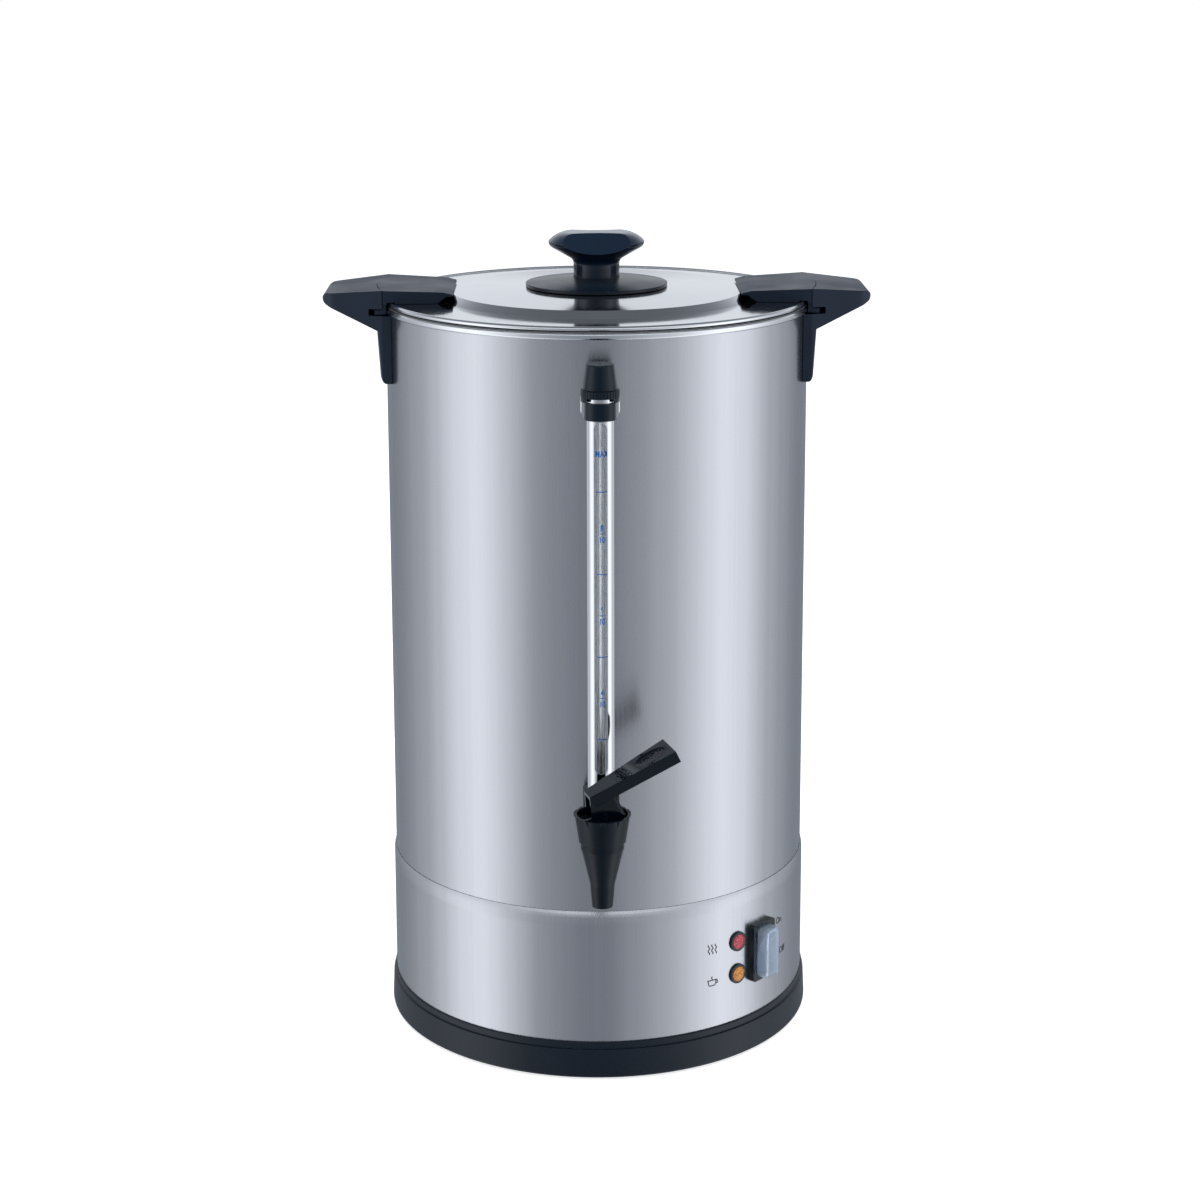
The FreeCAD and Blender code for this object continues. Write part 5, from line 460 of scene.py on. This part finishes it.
CAP_PLASTIC = PlasticFinish("cap_plastic", (0.001, 0.006, 0.013), 0.10, Texture.ORANGE_PEEL, 0.0005, 0.30)
CONTROL_PLASTIC = PlasticFinish("control_plastic", (0.005, 0.009, 0.013), 0.26, Texture.SPARK, 0.0003)
PALE_PLASTIC = PlasticFinish("pale_plastic", (0.62, 0.63, 0.62), 0.30, Texture.SMOOTH, 0.0003)
ROCKER_PLASTIC = PlasticFinish("rocker_plastic", (0.05, 0.09, 0.17), 0.25, Texture.SMOOTH, 0.0003)
RED_PLASTIC = PlasticFinish("red_plastic", (0.50, 0.02, 0.02), 0.30, Texture.SMOOTH, 0.0003)
BLACK_RUBBER = PlasticFinish("black_rubber", (0.02, 0.02, 0.021), 0.62, Texture.SPARK, 0.0005, 0.3)
SEAL_RUBBER = PlasticFinish("seal_rubber", (0.10, 0.10, 0.105), 0.50, Texture.SMOOTH, 0.0002, 0.4)
WIRE_COVER = PlasticFinish("wire_cover", (0.55, 0.53, 0.48), 0.55, Texture.SPARK, 0.0)
GLASS = ClearFinish("sight_glass_clear", (0.97, 0.985, 0.99), 0.0, 1.0, 1.47, 1.0e-6)
BOOT_RUBBER = ClearFinish("boot_rubber", (0.72, 0.82, 0.94), 0.18, 0.82, 1.36, 3.0e-5)
# Each lens's second colour is its painted prism highlight.
RED_LENS = LensFinish("red_lens", (0.24, 0.008, 0.018), (0.62, 0.10, 0.13))
AMBER_LENS = LensFinish("amber_lens", (0.30, 0.08, 0.006), (0.78, 0.34, 0.06))
GAUGE_INK = InkFinish("gauge_ink", (0.008, 0.13, 0.46))
PANEL_INK = InkFinish("panel_ink", (0.012, 0.012, 0.014))


class Wardrobe:
    """Makes each finish once and puts it on objects."""

    def __init__(self) -> None:
        """Starts with no finish made."""
        self.made: dict[str, bpy.types.Material] = {}

    def get(self, finish: Finish) -> bpy.types.Material:
        """Gives the finish's material, made on first use.

        Args:
            finish: the finish.

        Returns:
            The material.
        """
        if finish.name not in self.made:
            self.made[finish.name] = finish.paint()
        return self.made[finish.name]

    def dress(self, thing: bpy.types.Object, finish: Finish) -> None:
        """Gives an object one finish all over.

        Args:
            thing: the object.
            finish: the finish.
        """
        thing.data.materials.clear()
        thing.data.materials.append(self.get(finish))
        LOG.info("%s: %s", thing.name, finish.name)


@dataclass
class SubAssembly:
    """What every sub-assembly holds: the CAD nodes and the finishes."""

    nodes: Nodes
    wardrobe: Wardrobe

    def dress_all(self, choices: dict[str, Finish]) -> None:
        """Dresses several CAD nodes.

        Args:
            choices: node name to finish.
        """
        for name, finish in choices.items():
            self.wardrobe.dress(self.nodes[name], finish)

    def add(self, piece: bpy.types.Object, body: str, finish: Finish, slot: str) -> bpy.types.Object:
        """Dresses a new piece and lets it ride on a body.

        Args:
            piece: the new piece.
            body: the CAD body it moves with.
            finish: its finish.
            slot: the record's material slot, not used.

        Returns:
            The piece.
        """
        self.wardrobe.dress(piece, finish)
        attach(piece, body)
        return piece


def mesh_object(name: str, points: Sequence[Vector], faces: Sequence[Sequence[int]]) -> bpy.types.Object:
    """Makes a smooth-shaded mesh object.

    Args:
        name: name of the object.
        points: vertices in metres.
        faces: faces as indices.

    Returns:
        The object, linked to the scene.
    """
    mesh = bpy.data.meshes.new(name)
    mesh.from_pydata([tuple(p) for p in points], [], [tuple(f) for f in faces])
    mesh.validate()
    shell = bmesh.new()
    shell.from_mesh(mesh)
    bmesh.ops.recalc_face_normals(shell, faces=shell.faces)
    shell.to_mesh(mesh)
    shell.free()
    mesh.polygons.foreach_set("use_smooth", [True] * len(mesh.polygons))
    made = bpy.data.objects.new(name, mesh)
    bpy.context.scene.collection.objects.link(made)
    return made


def skinned(name: str, rings: Sequence[Sequence[Vector]], looped: bool = False) -> bpy.types.Object:
    """Joins rings of points, all of one length, into a closed skin.

    Args:
        name: name of the object.
        rings: closed rings in order.
        looped: whether the last ring joins the first, otherwise both are closed with a face.

    Returns:
        The object.
    """
    count = len(rings[0])
    points = [p for ring in rings for p in ring]
    faces: list[tuple[int, ...]] = []
    for level in range(len(rings) if looped else len(rings) - 1):
        base = level * count
        above = (level + 1) % len(rings) * count
        for k in range(count):
            after = (k + 1) % count
            faces.append((base + k, base + after, above + after, above + k))
    if not looped:
        faces.append(tuple(reversed(range(count))))
        faces.append(tuple(range(len(points) - count, len(points))))
    return mesh_object(name, points, faces)


def lathe(name: str, profile: Outline, steps: int = 288) -> bpy.types.Object:
    """Turns a closed profile round the urn's axis.

    Args:
        name: name of the object.
        profile: points as radius and height in millimetres.
        steps: number of steps round the axis.

    Returns:
        The object.
    """
    rings = [[on_drum(360.0 * k / steps, radius, height) for radius, height in profile] for k in range(steps)]
    return skinned(name, rings, looped=True)


def arc(radius: float, height: float, size: float, start: float, end: float) -> list[tuple[float, float]]:
    """Gives points on an arc of a lathe's profile.

    Args:
        radius: distance of the arc's middle from the urn's axis in millimetres.
        height: height of the arc's middle in millimetres.
        size: radius of the arc in millimetres.
        start: first angle in degrees, 0 outward and 90 upward.
        end: last angle.

    Returns:
        The points as radius and height.
    """
    steps = max(4, round(abs(end - start) / 9.0))
    turns = [math.radians(start + (end - start) * k / steps) for k in range(steps + 1)]
    return [(radius + math.cos(t) * size, height + math.sin(t) * size) for t in turns]


def lettering(
    name: str, words: str, height: float, depth: float, bold: float, put: Placing,
) -> bpy.types.Object:
    """Makes thin printed characters that follow a surface.

    Args:
        name: name of the object.
        words: the characters.
        height: size of the characters in millimetres.
        depth: thickness in millimetres.
        bold: how far the strokes are widened on each side, in millimetres.
        put: gives the point in metres for a place across, up and outward in millimetres.

    Returns:
        The object.
    """
    curve = bpy.data.curves.new(name + "_outline", "FONT")
    curve.body = words
    curve.size = height
    curve.offset = bold
    curve.align_x = "CENTER"
    curve.align_y = "CENTER"
    curve.extrude = depth / 2
    holder = bpy.data.objects.new(name + "_outline", curve)
    bpy.context.scene.collection.objects.link(holder)
    bpy.context.view_layer.update()
    mesh = bpy.data.meshes.new_from_object(holder)
    bpy.data.objects.remove(holder)
    mesh.name = name
    for vertex in mesh.vertices:
        x, y, z = vertex.co
        vertex.co = put(x, y, z)
    made = bpy.data.objects.new(name, mesh)
    bpy.context.scene.collection.objects.link(made)
    return made


def strip(name: str, line: Outline, width: float, depth: float, put: Placing) -> bpy.types.Object:
    """Makes a thin printed stroke along a line on a surface.

    Args:
        name: name of the object.
        line: points across and up, in millimetres.
        width: width of the stroke in millimetres.
        depth: thickness in millimetres.
        put: gives the point in metres for a place across, up and outward in millimetres.

    Returns:
        The object.
    """
    rings = []
    for k, (x, y) in enumerate(line):
        before = line[max(k - 1, 0)]
        after = line[min(k + 1, len(line) - 1)]
        along = math.hypot(after[0] - before[0], after[1] - before[1])
        side = (-(after[1] - before[1]) / along * width / 2, (after[0] - before[0]) / along * width / 2)
        rings.append([
            put(x + side[0], y + side[1], 0.0),
            put(x - side[0], y - side[1], 0.0),
            put(x - side[0], y - side[1], depth),
            put(x + side[0], y + side[1], depth),
        ])
    made = skinned(name, rings)
    made.data.polygons.foreach_set("use_smooth", [False] * len(made.data.polygons))
    return made


@dataclass
class Drum(SubAssembly):
    """The drum, its floor and what fastens the handles to it."""

    seam_azimuth: float = 180.0
    seam_foot: float = 111.5
    seam_top: float = 468.5
    seam_half: float = 0.8
    seam_rise: float = 0.12
    radius: float = 135.0
    rim_radius: float = 135.6
    rim_high: float = 471.9
    rim_low: float = 470.7
    rim_bead: float = 1.46

    def build(self) -> None:
        """Dresses the drum and adds its rolled rim and the welded seam down its back."""
        self.dress_all({
            "tank_shell": SATIN_STEEL,
            "tank_floor": INNER_STEEL,
            "drum_screws": ZINC_STEEL,
        })
        self.add(self.seam(), "urn", SATIN_STEEL, "satin_steel")
        upper = arc(self.rim_radius, self.rim_high, self.rim_bead, 150.0, 0.0)
        lower = arc(self.rim_radius, self.rim_low, self.rim_bead, 0.0, -90.0)
        self.add(lathe("rolled_rim", [*upper, *lower]), "urn", ROLLED_STEEL, "satin_steel")

    def seam(self) -> bpy.types.Object:
        """Makes the welded seam, a low rounded bead.

        Returns:
            The seam.
        """
        rings = []
        steps = 90
        for k in range(steps + 1):
            height = self.seam_foot + (self.seam_top - self.seam_foot) * k / steps
            wander = 0.06 * math.sin(height * 1.9) + 0.04 * math.sin(height * 5.3)
            ring = []
            for side, rise in ((-1.0, -0.1), (-0.6, 0.6), (0.0, 1.0), (0.6, 0.6), (1.0, -0.1)):
                turn = math.degrees((side * self.seam_half + wander) / self.radius)
                ring.append(on_drum(self.seam_azimuth + turn, self.radius + rise * self.seam_rise, height))
            rings.append(ring)
        return skinned("drum_seam", rings)


@dataclass
class LowerHousing(SubAssembly):
    """The steel skirt under the drum with its inlet and its printed marks."""

    radius: float = 136.2
    ink: float = 0.05
    mark_size: float = 6.0
    mark_bold: float = 0.08
    stroke: float = 0.65
    sign_azimuth: float = 31.0

    def build(self) -> None:
        """Dresses the housing and the inlet, and prints the marks beside the controls."""
        self.dress_all({
            "lower_housing": HOUSING_STEEL,
            "power_inlet": CONTROL_PLASTIC,
            "inlet_pins": BRASS,
            "inlet_screws": ZINC_STEEL,
        })
        for name, words, azimuth, height in (("mark_on", "On", 58.2, 78.2), ("mark_off", "Off", 60.2, 56.5)):
            put = self.spot(azimuth, height)
            mark = lettering(name, words, self.mark_size, 2 * self.ink, self.mark_bold, put)
            self.add(mark, "urn", PANEL_INK, "control_plastic")
        self.print_sign("heating_sign", 77.5, self.waves())
        self.print_sign("warm_sign", 56.0, self.cup())

    def waves(self) -> list[Outline]:
        """Gives the strokes of a plain heat sign, three upright waves."""
        heights = [-3.2 + 0.4 * k for k in range(17)]
        return [[(across + 0.55 * math.sin(up * 1.9), up) for up in heights] for across in (-2.6, 0.0, 2.6)]

    def cup(self) -> list[Outline]:
        """Gives the strokes of a plain cup with one wave over it."""
        bowl = [(-3.0, 0.6), (-2.7, -2.0), (-1.9, -3.0), (1.9, -3.0), (2.7, -2.0), (3.0, 0.6)]
        ear = [(3.0, 0.0), (4.3, -0.1), (4.3, -1.6), (2.9, -1.7)]
        steam = [(0.4 * math.sin(up * 2.2), up) for up in [1.0 + 0.3 * k for k in range(8)]]
        return [[(-3.6, 0.6), (3.6, 0.6)], bowl, ear, steam]

    def print_sign(self, name: str, height: float, strokes: Sequence[Outline]) -> None:
        """Prints a sign left of a lamp.

        Args:
            name: start of the pieces' names.
            height: middle of the sign above the floor.
            strokes: its strokes in millimetres.
        """
        for count, line in enumerate(strokes):
            put = self.spot(self.sign_azimuth, height)
            mark = strip(f"{name}_{count}", line, self.stroke, 2 * self.ink, put)
            self.add(mark, "urn", PANEL_INK, "control_plastic")

    def spot(self, azimuth: float, height: float) -> Placing:
        """Gives the map from a flat drawing to a place on the housing.

        Args:
            azimuth: middle of the drawing in degrees from the tap.
            height: middle of the drawing above the floor.

        Returns:
            The map.
        """

        def put(across: float, up: float, out: float) -> Vector:
            """Puts a point of the drawing on the housing."""
            return on_drum(azimuth + math.degrees(across / self.radius), self.radius + out, height + up)

        return put


@dataclass
class Base(SubAssembly):
    """The black ring, the cover under it, the feet and the screws."""

    def build(self) -> None:
        """Dresses what the urn stands on."""
        self.dress_all({
            "base_ring": BASE_PLASTIC,
            "base_cover": ZINC_STEEL,
            "feet": BLACK_RUBBER,
            "base_screws": ZINC_STEEL,
            "floor_nuts": ZINC_STEEL,
            "tie_rod": ZINC_STEEL,
        })


@dataclass
class Lid(SubAssembly):
    """The lid with its seal, lugs and knob."""

    edge_radius: float = 134.6
    edge_height: float = 475.6
    edge_bead: float = 1.57

    def build(self) -> None:
        """Dresses the lid and adds its rolled edge."""
        self.dress_all({
            "lid_panel": LID_STEEL,
            "lid_seal": SEAL_RUBBER,
            "lid_screws": ZINC_STEEL,
            "lug_left": HANDLE_PLASTIC,
            "lug_right": HANDLE_PLASTIC,
            "knob_base": BASE_PLASTIC,
            "knob": NAVY_PLASTIC,
        })
        edge = arc(self.edge_radius, self.edge_height, self.edge_bead, -40.0, 150.0)
        self.add(lathe("rolled_lid_edge", edge), "lid", ROLLED_STEEL, "polished_steel")


@dataclass
class Handles(SubAssembly):
    """The two side handles."""

    def build(self) -> None:
        """Dresses the handles."""
        self.dress_all({"handle_left": HANDLE_PLASTIC, "handle_right": HANDLE_PLASTIC})


@dataclass
class SightGlass(SubAssembly):
    """The sight glass with its guard, its fittings and its level marks."""

    reach: float = 149.0
    glass_radius: float = 5.0
    clear: float = 0.12
    ink: float = 0.04
    squeeze: float = 0.72
    word_shift: float = 0.8
    word_bold: float = 0.16
    line_width: float = 0.6
    marks: dict[float, str] = field(default_factory=lambda: {
        404.2: "MAX", 381.5: "", 354.3: "8", 331.3: "", 304.1: "6", 280.2: "", 252.7: "4", 228.6: "",
    })

    def build(self) -> None:
        """Dresses the gauge and prints the scale on the glass."""
        self.dress_all({
            "gauge_guard": BRIGHT_STEEL,
            "gauge_bracket": BRIGHT_STEEL,
            "gauge_collar": CAP_PLASTIC,
            "gauge_nut": CAP_PLASTIC,
            "gauge_cap": CAP_PLASTIC,
            "gauge_base": GLOSS_PLASTIC,
            "gauge_glass": GLASS,
            "gauge_seals": BLACK_RUBBER,
        })
        for height, words in self.marks.items():
            if words == "MAX":
                self.print_word("mark_max", words, 5.2, height)
            elif words:
                self.print_word(f"mark_{words}_top", words, 5.4, height + 5.0)
                self.print_line(f"mark_{words}_bar", height + 1.8, -0.6, 2.4)
                self.print_word(f"mark_{words}_low", "10", 5.0, height - 2.0)
            else:
                self.print_line(f"mark_line_{height:.0f}", height, -2.4, 4.6)

    def put(self, height: float) -> Placing:
        """Gives the map from a flat drawing to the front of the glass.

        Args:
            height: middle of the drawing above the floor.

        Returns:
            The map.
        """

        def place(across: float, up: float, out: float) -> Vector:
            """Puts a point of the drawing on the glass."""
            turn = across / self.glass_radius
            reach = self.glass_radius + self.clear + out
            return Vector((math.sin(turn) * reach, -self.reach - math.cos(turn) * reach, height + up)) * MM

        return place

    def print_word(self, name: str, words: str, size: float, height: float) -> None:
        """Prints narrow characters a little right of the middle.

        Args:
            name: name of the piece.
            words: the characters.
            size: their size in millimetres.
            height: their height above the floor.
        """
        place = self.put(height)

        def narrow(across: float, up: float, out: float) -> Vector:
            """Puts a point of a character on the glass, squeezed sideways."""
            return place(across * self.squeeze + self.word_shift, up, out)

        word = lettering(name, words, size, 2 * self.ink, self.word_bold, narrow)
        self.add(word, "urn", GAUGE_INK, "control_plastic")

    def print_line(self, name: str, height: float, start: float, end: float) -> None:
        """Prints a level line round the front of the glass.

        Args:
            name: name of the piece.
            height: its height above the floor.
            start: left end in millimetres from the middle.
            end: right end.
        """
        line = [(start + (end - start) * k / 14, 0.0) for k in range(15)]
        stroke = strip(name, line, self.line_width, self.ink, self.put(height))
        self.add(stroke, "urn", GAUGE_INK, "control_plastic")


@dataclass
class Tap(SubAssembly):
    """The tap, from its spout to its lever."""

    reach: float = 190.0
    spring_foot: float = 171.65
    spring_top: float = 185.55
    spring_end: float = 186.1
    spring_keep: float = 0.7
    coil: float = 5.4
    wire: float = 0.55
    turns: int = 5
    turn_steps: int = 28
    wire_sides: int = 10

    def spring(self) -> bpy.types.Object:
        """Makes the spring.

        Returns:
            The spring.
        """
        rings = []
        steps = self.turns * self.turn_steps
        sides = [math.tau * n / self.wire_sides for n in range(self.wire_sides)]
        up = Vector((0.0, 0.0, 1.0))
        for k in range(steps + 1):
            turn = math.tau * self.turns * k / steps
            out = Vector((math.cos(turn), math.sin(turn), 0.0))
            height = self.spring_foot + (self.spring_top - self.spring_foot) * k / steps
            middle = Vector((0.0, -self.reach, height)) + out * self.coil
            rims = [out * math.cos(a) + up * math.sin(a) for a in sides]
            rings.append([(middle + rim * self.wire) * MM for rim in rims])
        return skinned("tap_coil", rings)

    def build(self) -> None:
        """Dresses the tap and puts in a spring that follows the stem."""
        self.dress_all({
            "tap_body": GLOSS_PLASTIC,
            "tap_bonnet": GLOSS_PLASTIC,
            "tap_lever": GLOSS_PLASTIC,
            "tap_nut": GLOSS_PLASTIC,
            "tap_washers": SEAL_RUBBER,
            "tap_stem": GLOSS_PLASTIC,
            "tap_seat_cup": SEAL_RUBBER,
            "tap_pin": GLOSS_PLASTIC,
            "tap_spring": BRIGHT_STEEL,
            "tap_thrust_washer": GLOSS_PLASTIC,
        })
        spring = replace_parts(self.add(self.spring(), "tap_swivel", BRIGHT_STEEL, "inner_steel"), "tap_spring")
        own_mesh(spring)


@dataclass
class Controls(SubAssembly):
    """The lamps and the switch."""

    def build(self) -> None:
        """Dresses the controls."""
        self.dress_all({
            "heating_lamp_holder": CONTROL_PLASTIC,
            "heating_lamp_lens": RED_LENS,
            "warm_lamp_holder": CONTROL_PLASTIC,
            "warm_lamp_lens": AMBER_LENS,
            "switch_housing": CONTROL_PLASTIC,
            "switch_rocker": ROCKER_PLASTIC,
            "switch_boot": BOOT_RUBBER,
            "switch_blades": BRASS,
        })


@dataclass
class Inside(SubAssembly):
    """The heaters, the thermostats and the wiring under the tank."""

    def build(self) -> None:
        """Dresses what the base holds."""
        self.dress_all({
            "heater_plate": CAST_PLATE,
            "heating_element": ELEMENT_STEEL,
            "keep_warm_element": ELEMENT_STEEL,
            "clamp_strap": ZINC_STEEL,
            "thermostat_bracket": ZINC_STEEL,
            "boil_thermostat": CONTROL_PLASTIC,
            "warm_thermostat": CONTROL_PLASTIC,
            "thermal_cutout": CONTROL_PLASTIC,
            "cutout_bulb": COPPER,
            "reset_button": RED_PLASTIC,
            "terminal_block": PALE_PLASTIC,
            "wiring": WIRE_COVER,
        })


@dataclass(frozen=True)
class LightBank:
    """A tall soft light in the studio, given by where it stands round the urn."""

    azimuth: float
    half_width: float
    softness: float
    strength: float


@dataclass
class Studio:
    """The floor, the surrounding light and the camera.

    Ranges of the surrounding light are in degrees for turns from the tap, and in parts of a unit direction
    otherwise. The lamp's size and place are in metres.
    """

    camera_distance: float = 1600.6
    camera_height: float = 711.8
    camera_turn: float = 0.75
    camera_pitch: float = 11.90
    camera_roll: float = -0.17
    lens: float = 75.48
    shift_x: float = 0.0025
    shift_y: float = -0.125
    floor_size: float = 12.0
    floor_glow: float = 0.70
    front: float = 1.1
    ambient: float = 0.28
    ambient_tint: Colour = (0.91, 1.0, 1.14)
    light_tint: Colour = (0.98, 1.0, 1.04)
    backdrop: float = 0.62
    zenith: float = 0.16
    behind_edge: tuple[float, float] = (-0.15, -0.75)
    horizon: tuple[float, float] = (0.0, 0.10)
    bank_fall: tuple[float, float] = (0.14, 0.70)
    front_turn: tuple[float, float] = (18.0, 80.0)
    front_rise: tuple[float, float] = (0.30, 0.42)
    front_fall: tuple[float, float] = (0.52, 0.66)
    ambient_fall: tuple[float, float] = (0.55, 0.95)
    lamp_power: float = 55.0
    lamp_size: float = 2.4
    lamp_place: tuple[float, float, float] = (0.0, -0.3, 2.6)
    lamp_tilt: float = -6.0
    banks: tuple[LightBank, ...] = (
        LightBank(-78.0, 14.0, 62.0, 0.36),
        LightBank(-72.0, 0.0, 40.0, 0.64),
        LightBank(73.0, 20.0, 56.0, 0.42),
        LightBank(74.0, 0.0, 36.0, 0.62),
    )

    def build(self) -> None:
        """Builds the floor, the light and the camera."""
        self.build_floor()
        self.build_world()
        self.build_overhead()
        self.build_camera()

    def build_floor(self) -> None:
        """Lays the plain pale floor, which bare steel doesn't mirror."""
        half = self.floor_size / 2
        signs = ((-1, -1), (1, -1), (1, 1), (-1, 1))
        floor = mesh_object("floor", [Vector((x * half, y * half, 0.0)) for x, y in signs], [(0, 1, 2, 3)])
        paint = Painter("pale_floor")
        paint.set("Base Color", (0.93, 0.93, 0.935, 1.0))
        paint.set("Roughness", 0.9)
        paint.set("Specular IOR Level", 0.1)
        paint.set("Emission Color", (1.0, 1.0, 1.0, 1.0))
        paint.set("Emission Strength", self.floor_glow)
        floor.data.materials.append(paint.material)
        floor.visible_glossy = False

    def build_world(self) -> None:
        """Surrounds the urn with soft lights at its sides and in front, and a bright backdrop behind it.

        The camera itself sees plain white, and the steel sees the lights.
        """
        world = bpy.data.worlds.new("studio")
        world.use_nodes = True
        bpy.context.scene.world = world
        tree = world.node_tree
        tree.nodes.clear()

        def node(kind: str, **settings: object) -> bpy.types.Node:
            """Adds a node to the world's tree."""
            made = tree.nodes.new(kind)
            for key, value in settings.items():
                setattr(made, key, value)
            return made

        def math_node(operation: str, first: Socket | float, second: Socket | float = 0.0) -> Socket:
            """Adds a calculation to the world's tree."""
            made = node("ShaderNodeMath", operation=operation)
            for socket, value in zip(made.inputs, (first, second)):
                if isinstance(value, (int, float)):
                    socket.default_value = value
                else:
                    tree.links.new(value, socket)
            return made.outputs[0]

        def window(source: Socket, start: float, end: float, low: float, high: float) -> Socket:
            """Eases from low at start to high at end."""
            made = node("ShaderNodeMapRange", interpolation_type="SMOOTHSTEP")
            made.inputs["From Min"].default_value = start
            made.inputs["From Max"].default_value = end
            made.inputs["To Min"].default_value = low
            made.inputs["To Max"].default_value = high
            tree.links.new(source, made.inputs["Value"])
            return made.outputs["Result"]

        coordinates = node("ShaderNodeTexCoord")
        split = node("ShaderNodeSeparateXYZ")
        tree.links.new(coordinates.outputs["Generated"], split.inputs["Vector"])
        back = math_node("MULTIPLY", split.outputs["Y"], -1.0)
        azimuth = math_node("MULTIPLY", math_node("ARCTAN2", split.outputs["X"], back), 180.0 / math.pi)
        light = math_node("ADD", 0.0, 0.0)
        for bank in self.banks:
            away = math_node("ABSOLUTE", math_node("SUBTRACT", azimuth, bank.azimuth))
            glow = window(away, bank.half_width, bank.half_width + bank.softness, bank.strength, 0.0)
            light = math_node("ADD", light, glow)
        behind = window(back, *self.behind_edge, 0.0, 1.0)
        above = window(split.outputs["Z"], *self.horizon, 0.0, self.backdrop)
        light = math_node("MAXIMUM", light, math_node("MULTIPLY", behind, above))
        light = math_node("MULTIPLY", light, window(split.outputs["Z"], *self.bank_fall, 1.0, 0.0))
        front = window(math_node("ABSOLUTE", azimuth), *self.front_turn, self.front, 0.0)
        front = math_node("MULTIPLY", front, window(split.outputs["Z"], *self.front_rise, 0.0, 1.0))
        front = math_node("MULTIPLY", front, window(split.outputs["Z"], *self.front_fall, 1.0, 0.0))
        light = math_node("ADD", light, front)
        ambient = window(split.outputs["Z"], *self.ambient_fall, self.ambient, self.zenith)

        def glowing(tint: Colour, strength: Socket) -> Socket:
            """Gives light of one colour from every side."""
            made = node("ShaderNodeBackground")
            made.inputs["Color"].default_value = (*tint, 1.0)
            tree.links.new(strength, made.inputs["Strength"])
            return made.outputs["Background"]

        around = node("ShaderNodeAddShader")
        tree.links.new(glowing(self.ambient_tint, ambient), around.inputs[0])
        tree.links.new(glowing(self.light_tint, light), around.inputs[1])
        path = node("ShaderNodeLightPath")
        mix = node("ShaderNodeMixShader")
        tree.links.new(path.outputs["Is Camera Ray"], mix.inputs["Fac"])
        tree.links.new(around.outputs["Shader"], mix.inputs[1])
        tree.links.new(glowing((1.0, 1.0, 1.0), path.outputs["Is Camera Ray"]), mix.inputs[2])
        output = node("ShaderNodeOutputWorld")
        tree.links.new(mix.outputs["Shader"], output.inputs["Surface"])

    def build_overhead(self) -> None:
        """Hangs one large soft light over the urn."""
        data = bpy.data.lights.new("overhead_light", "AREA")
        data.shape = "RECTANGLE"
        data.size = self.lamp_size
        data.size_y = self.lamp_size
        data.energy = self.lamp_power
        lamp = bpy.data.objects.new("overhead_light", data)
        lamp.location = self.lamp_place
        lamp.rotation_euler = Euler((math.radians(self.lamp_tilt), 0.0, 0.0))
        lamp.visible_glossy = False
        bpy.context.scene.collection.objects.link(lamp)

    def build_camera(self) -> None:
        """Sets the camera at the photograph's viewing angle."""
        data = bpy.data.cameras.new("camera")
        data.lens = self.lens
        data.sensor_width = 36.0
        data.shift_x = self.shift_x
        data.shift_y = self.shift_y
        camera = bpy.data.objects.new("camera", data)
        turn = math.radians(self.camera_turn)
        reach = self.camera_distance * MM
        camera.location = (-math.sin(turn) * reach, -math.cos(turn) * reach, self.camera_height * MM)
        camera.rotation_euler = Euler((math.radians(90.0 - self.camera_pitch), 0.0, -turn))
        camera.rotation_euler.rotate_axis("Z", math.radians(self.camera_roll))
        bpy.context.scene.collection.objects.link(camera)
        bpy.context.scene.camera = camera
        bpy.context.scene.view_settings.view_transform = "Standard"


def main() -> None:
    """Loads the frame, dresses every sub-assembly and builds the studio."""
    logging.basicConfig(level=logging.INFO, format="%(name)s %(message)s")
    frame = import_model()
    wardrobe = Wardrobe()
    nodes = frame["nodes"]
    for part in (Drum, LowerHousing, Base, Lid, Handles, SightGlass, Tap, Controls, Inside):
        part(nodes, wardrobe).build()
    Studio().build()


if __name__ == "__main__":
    main()
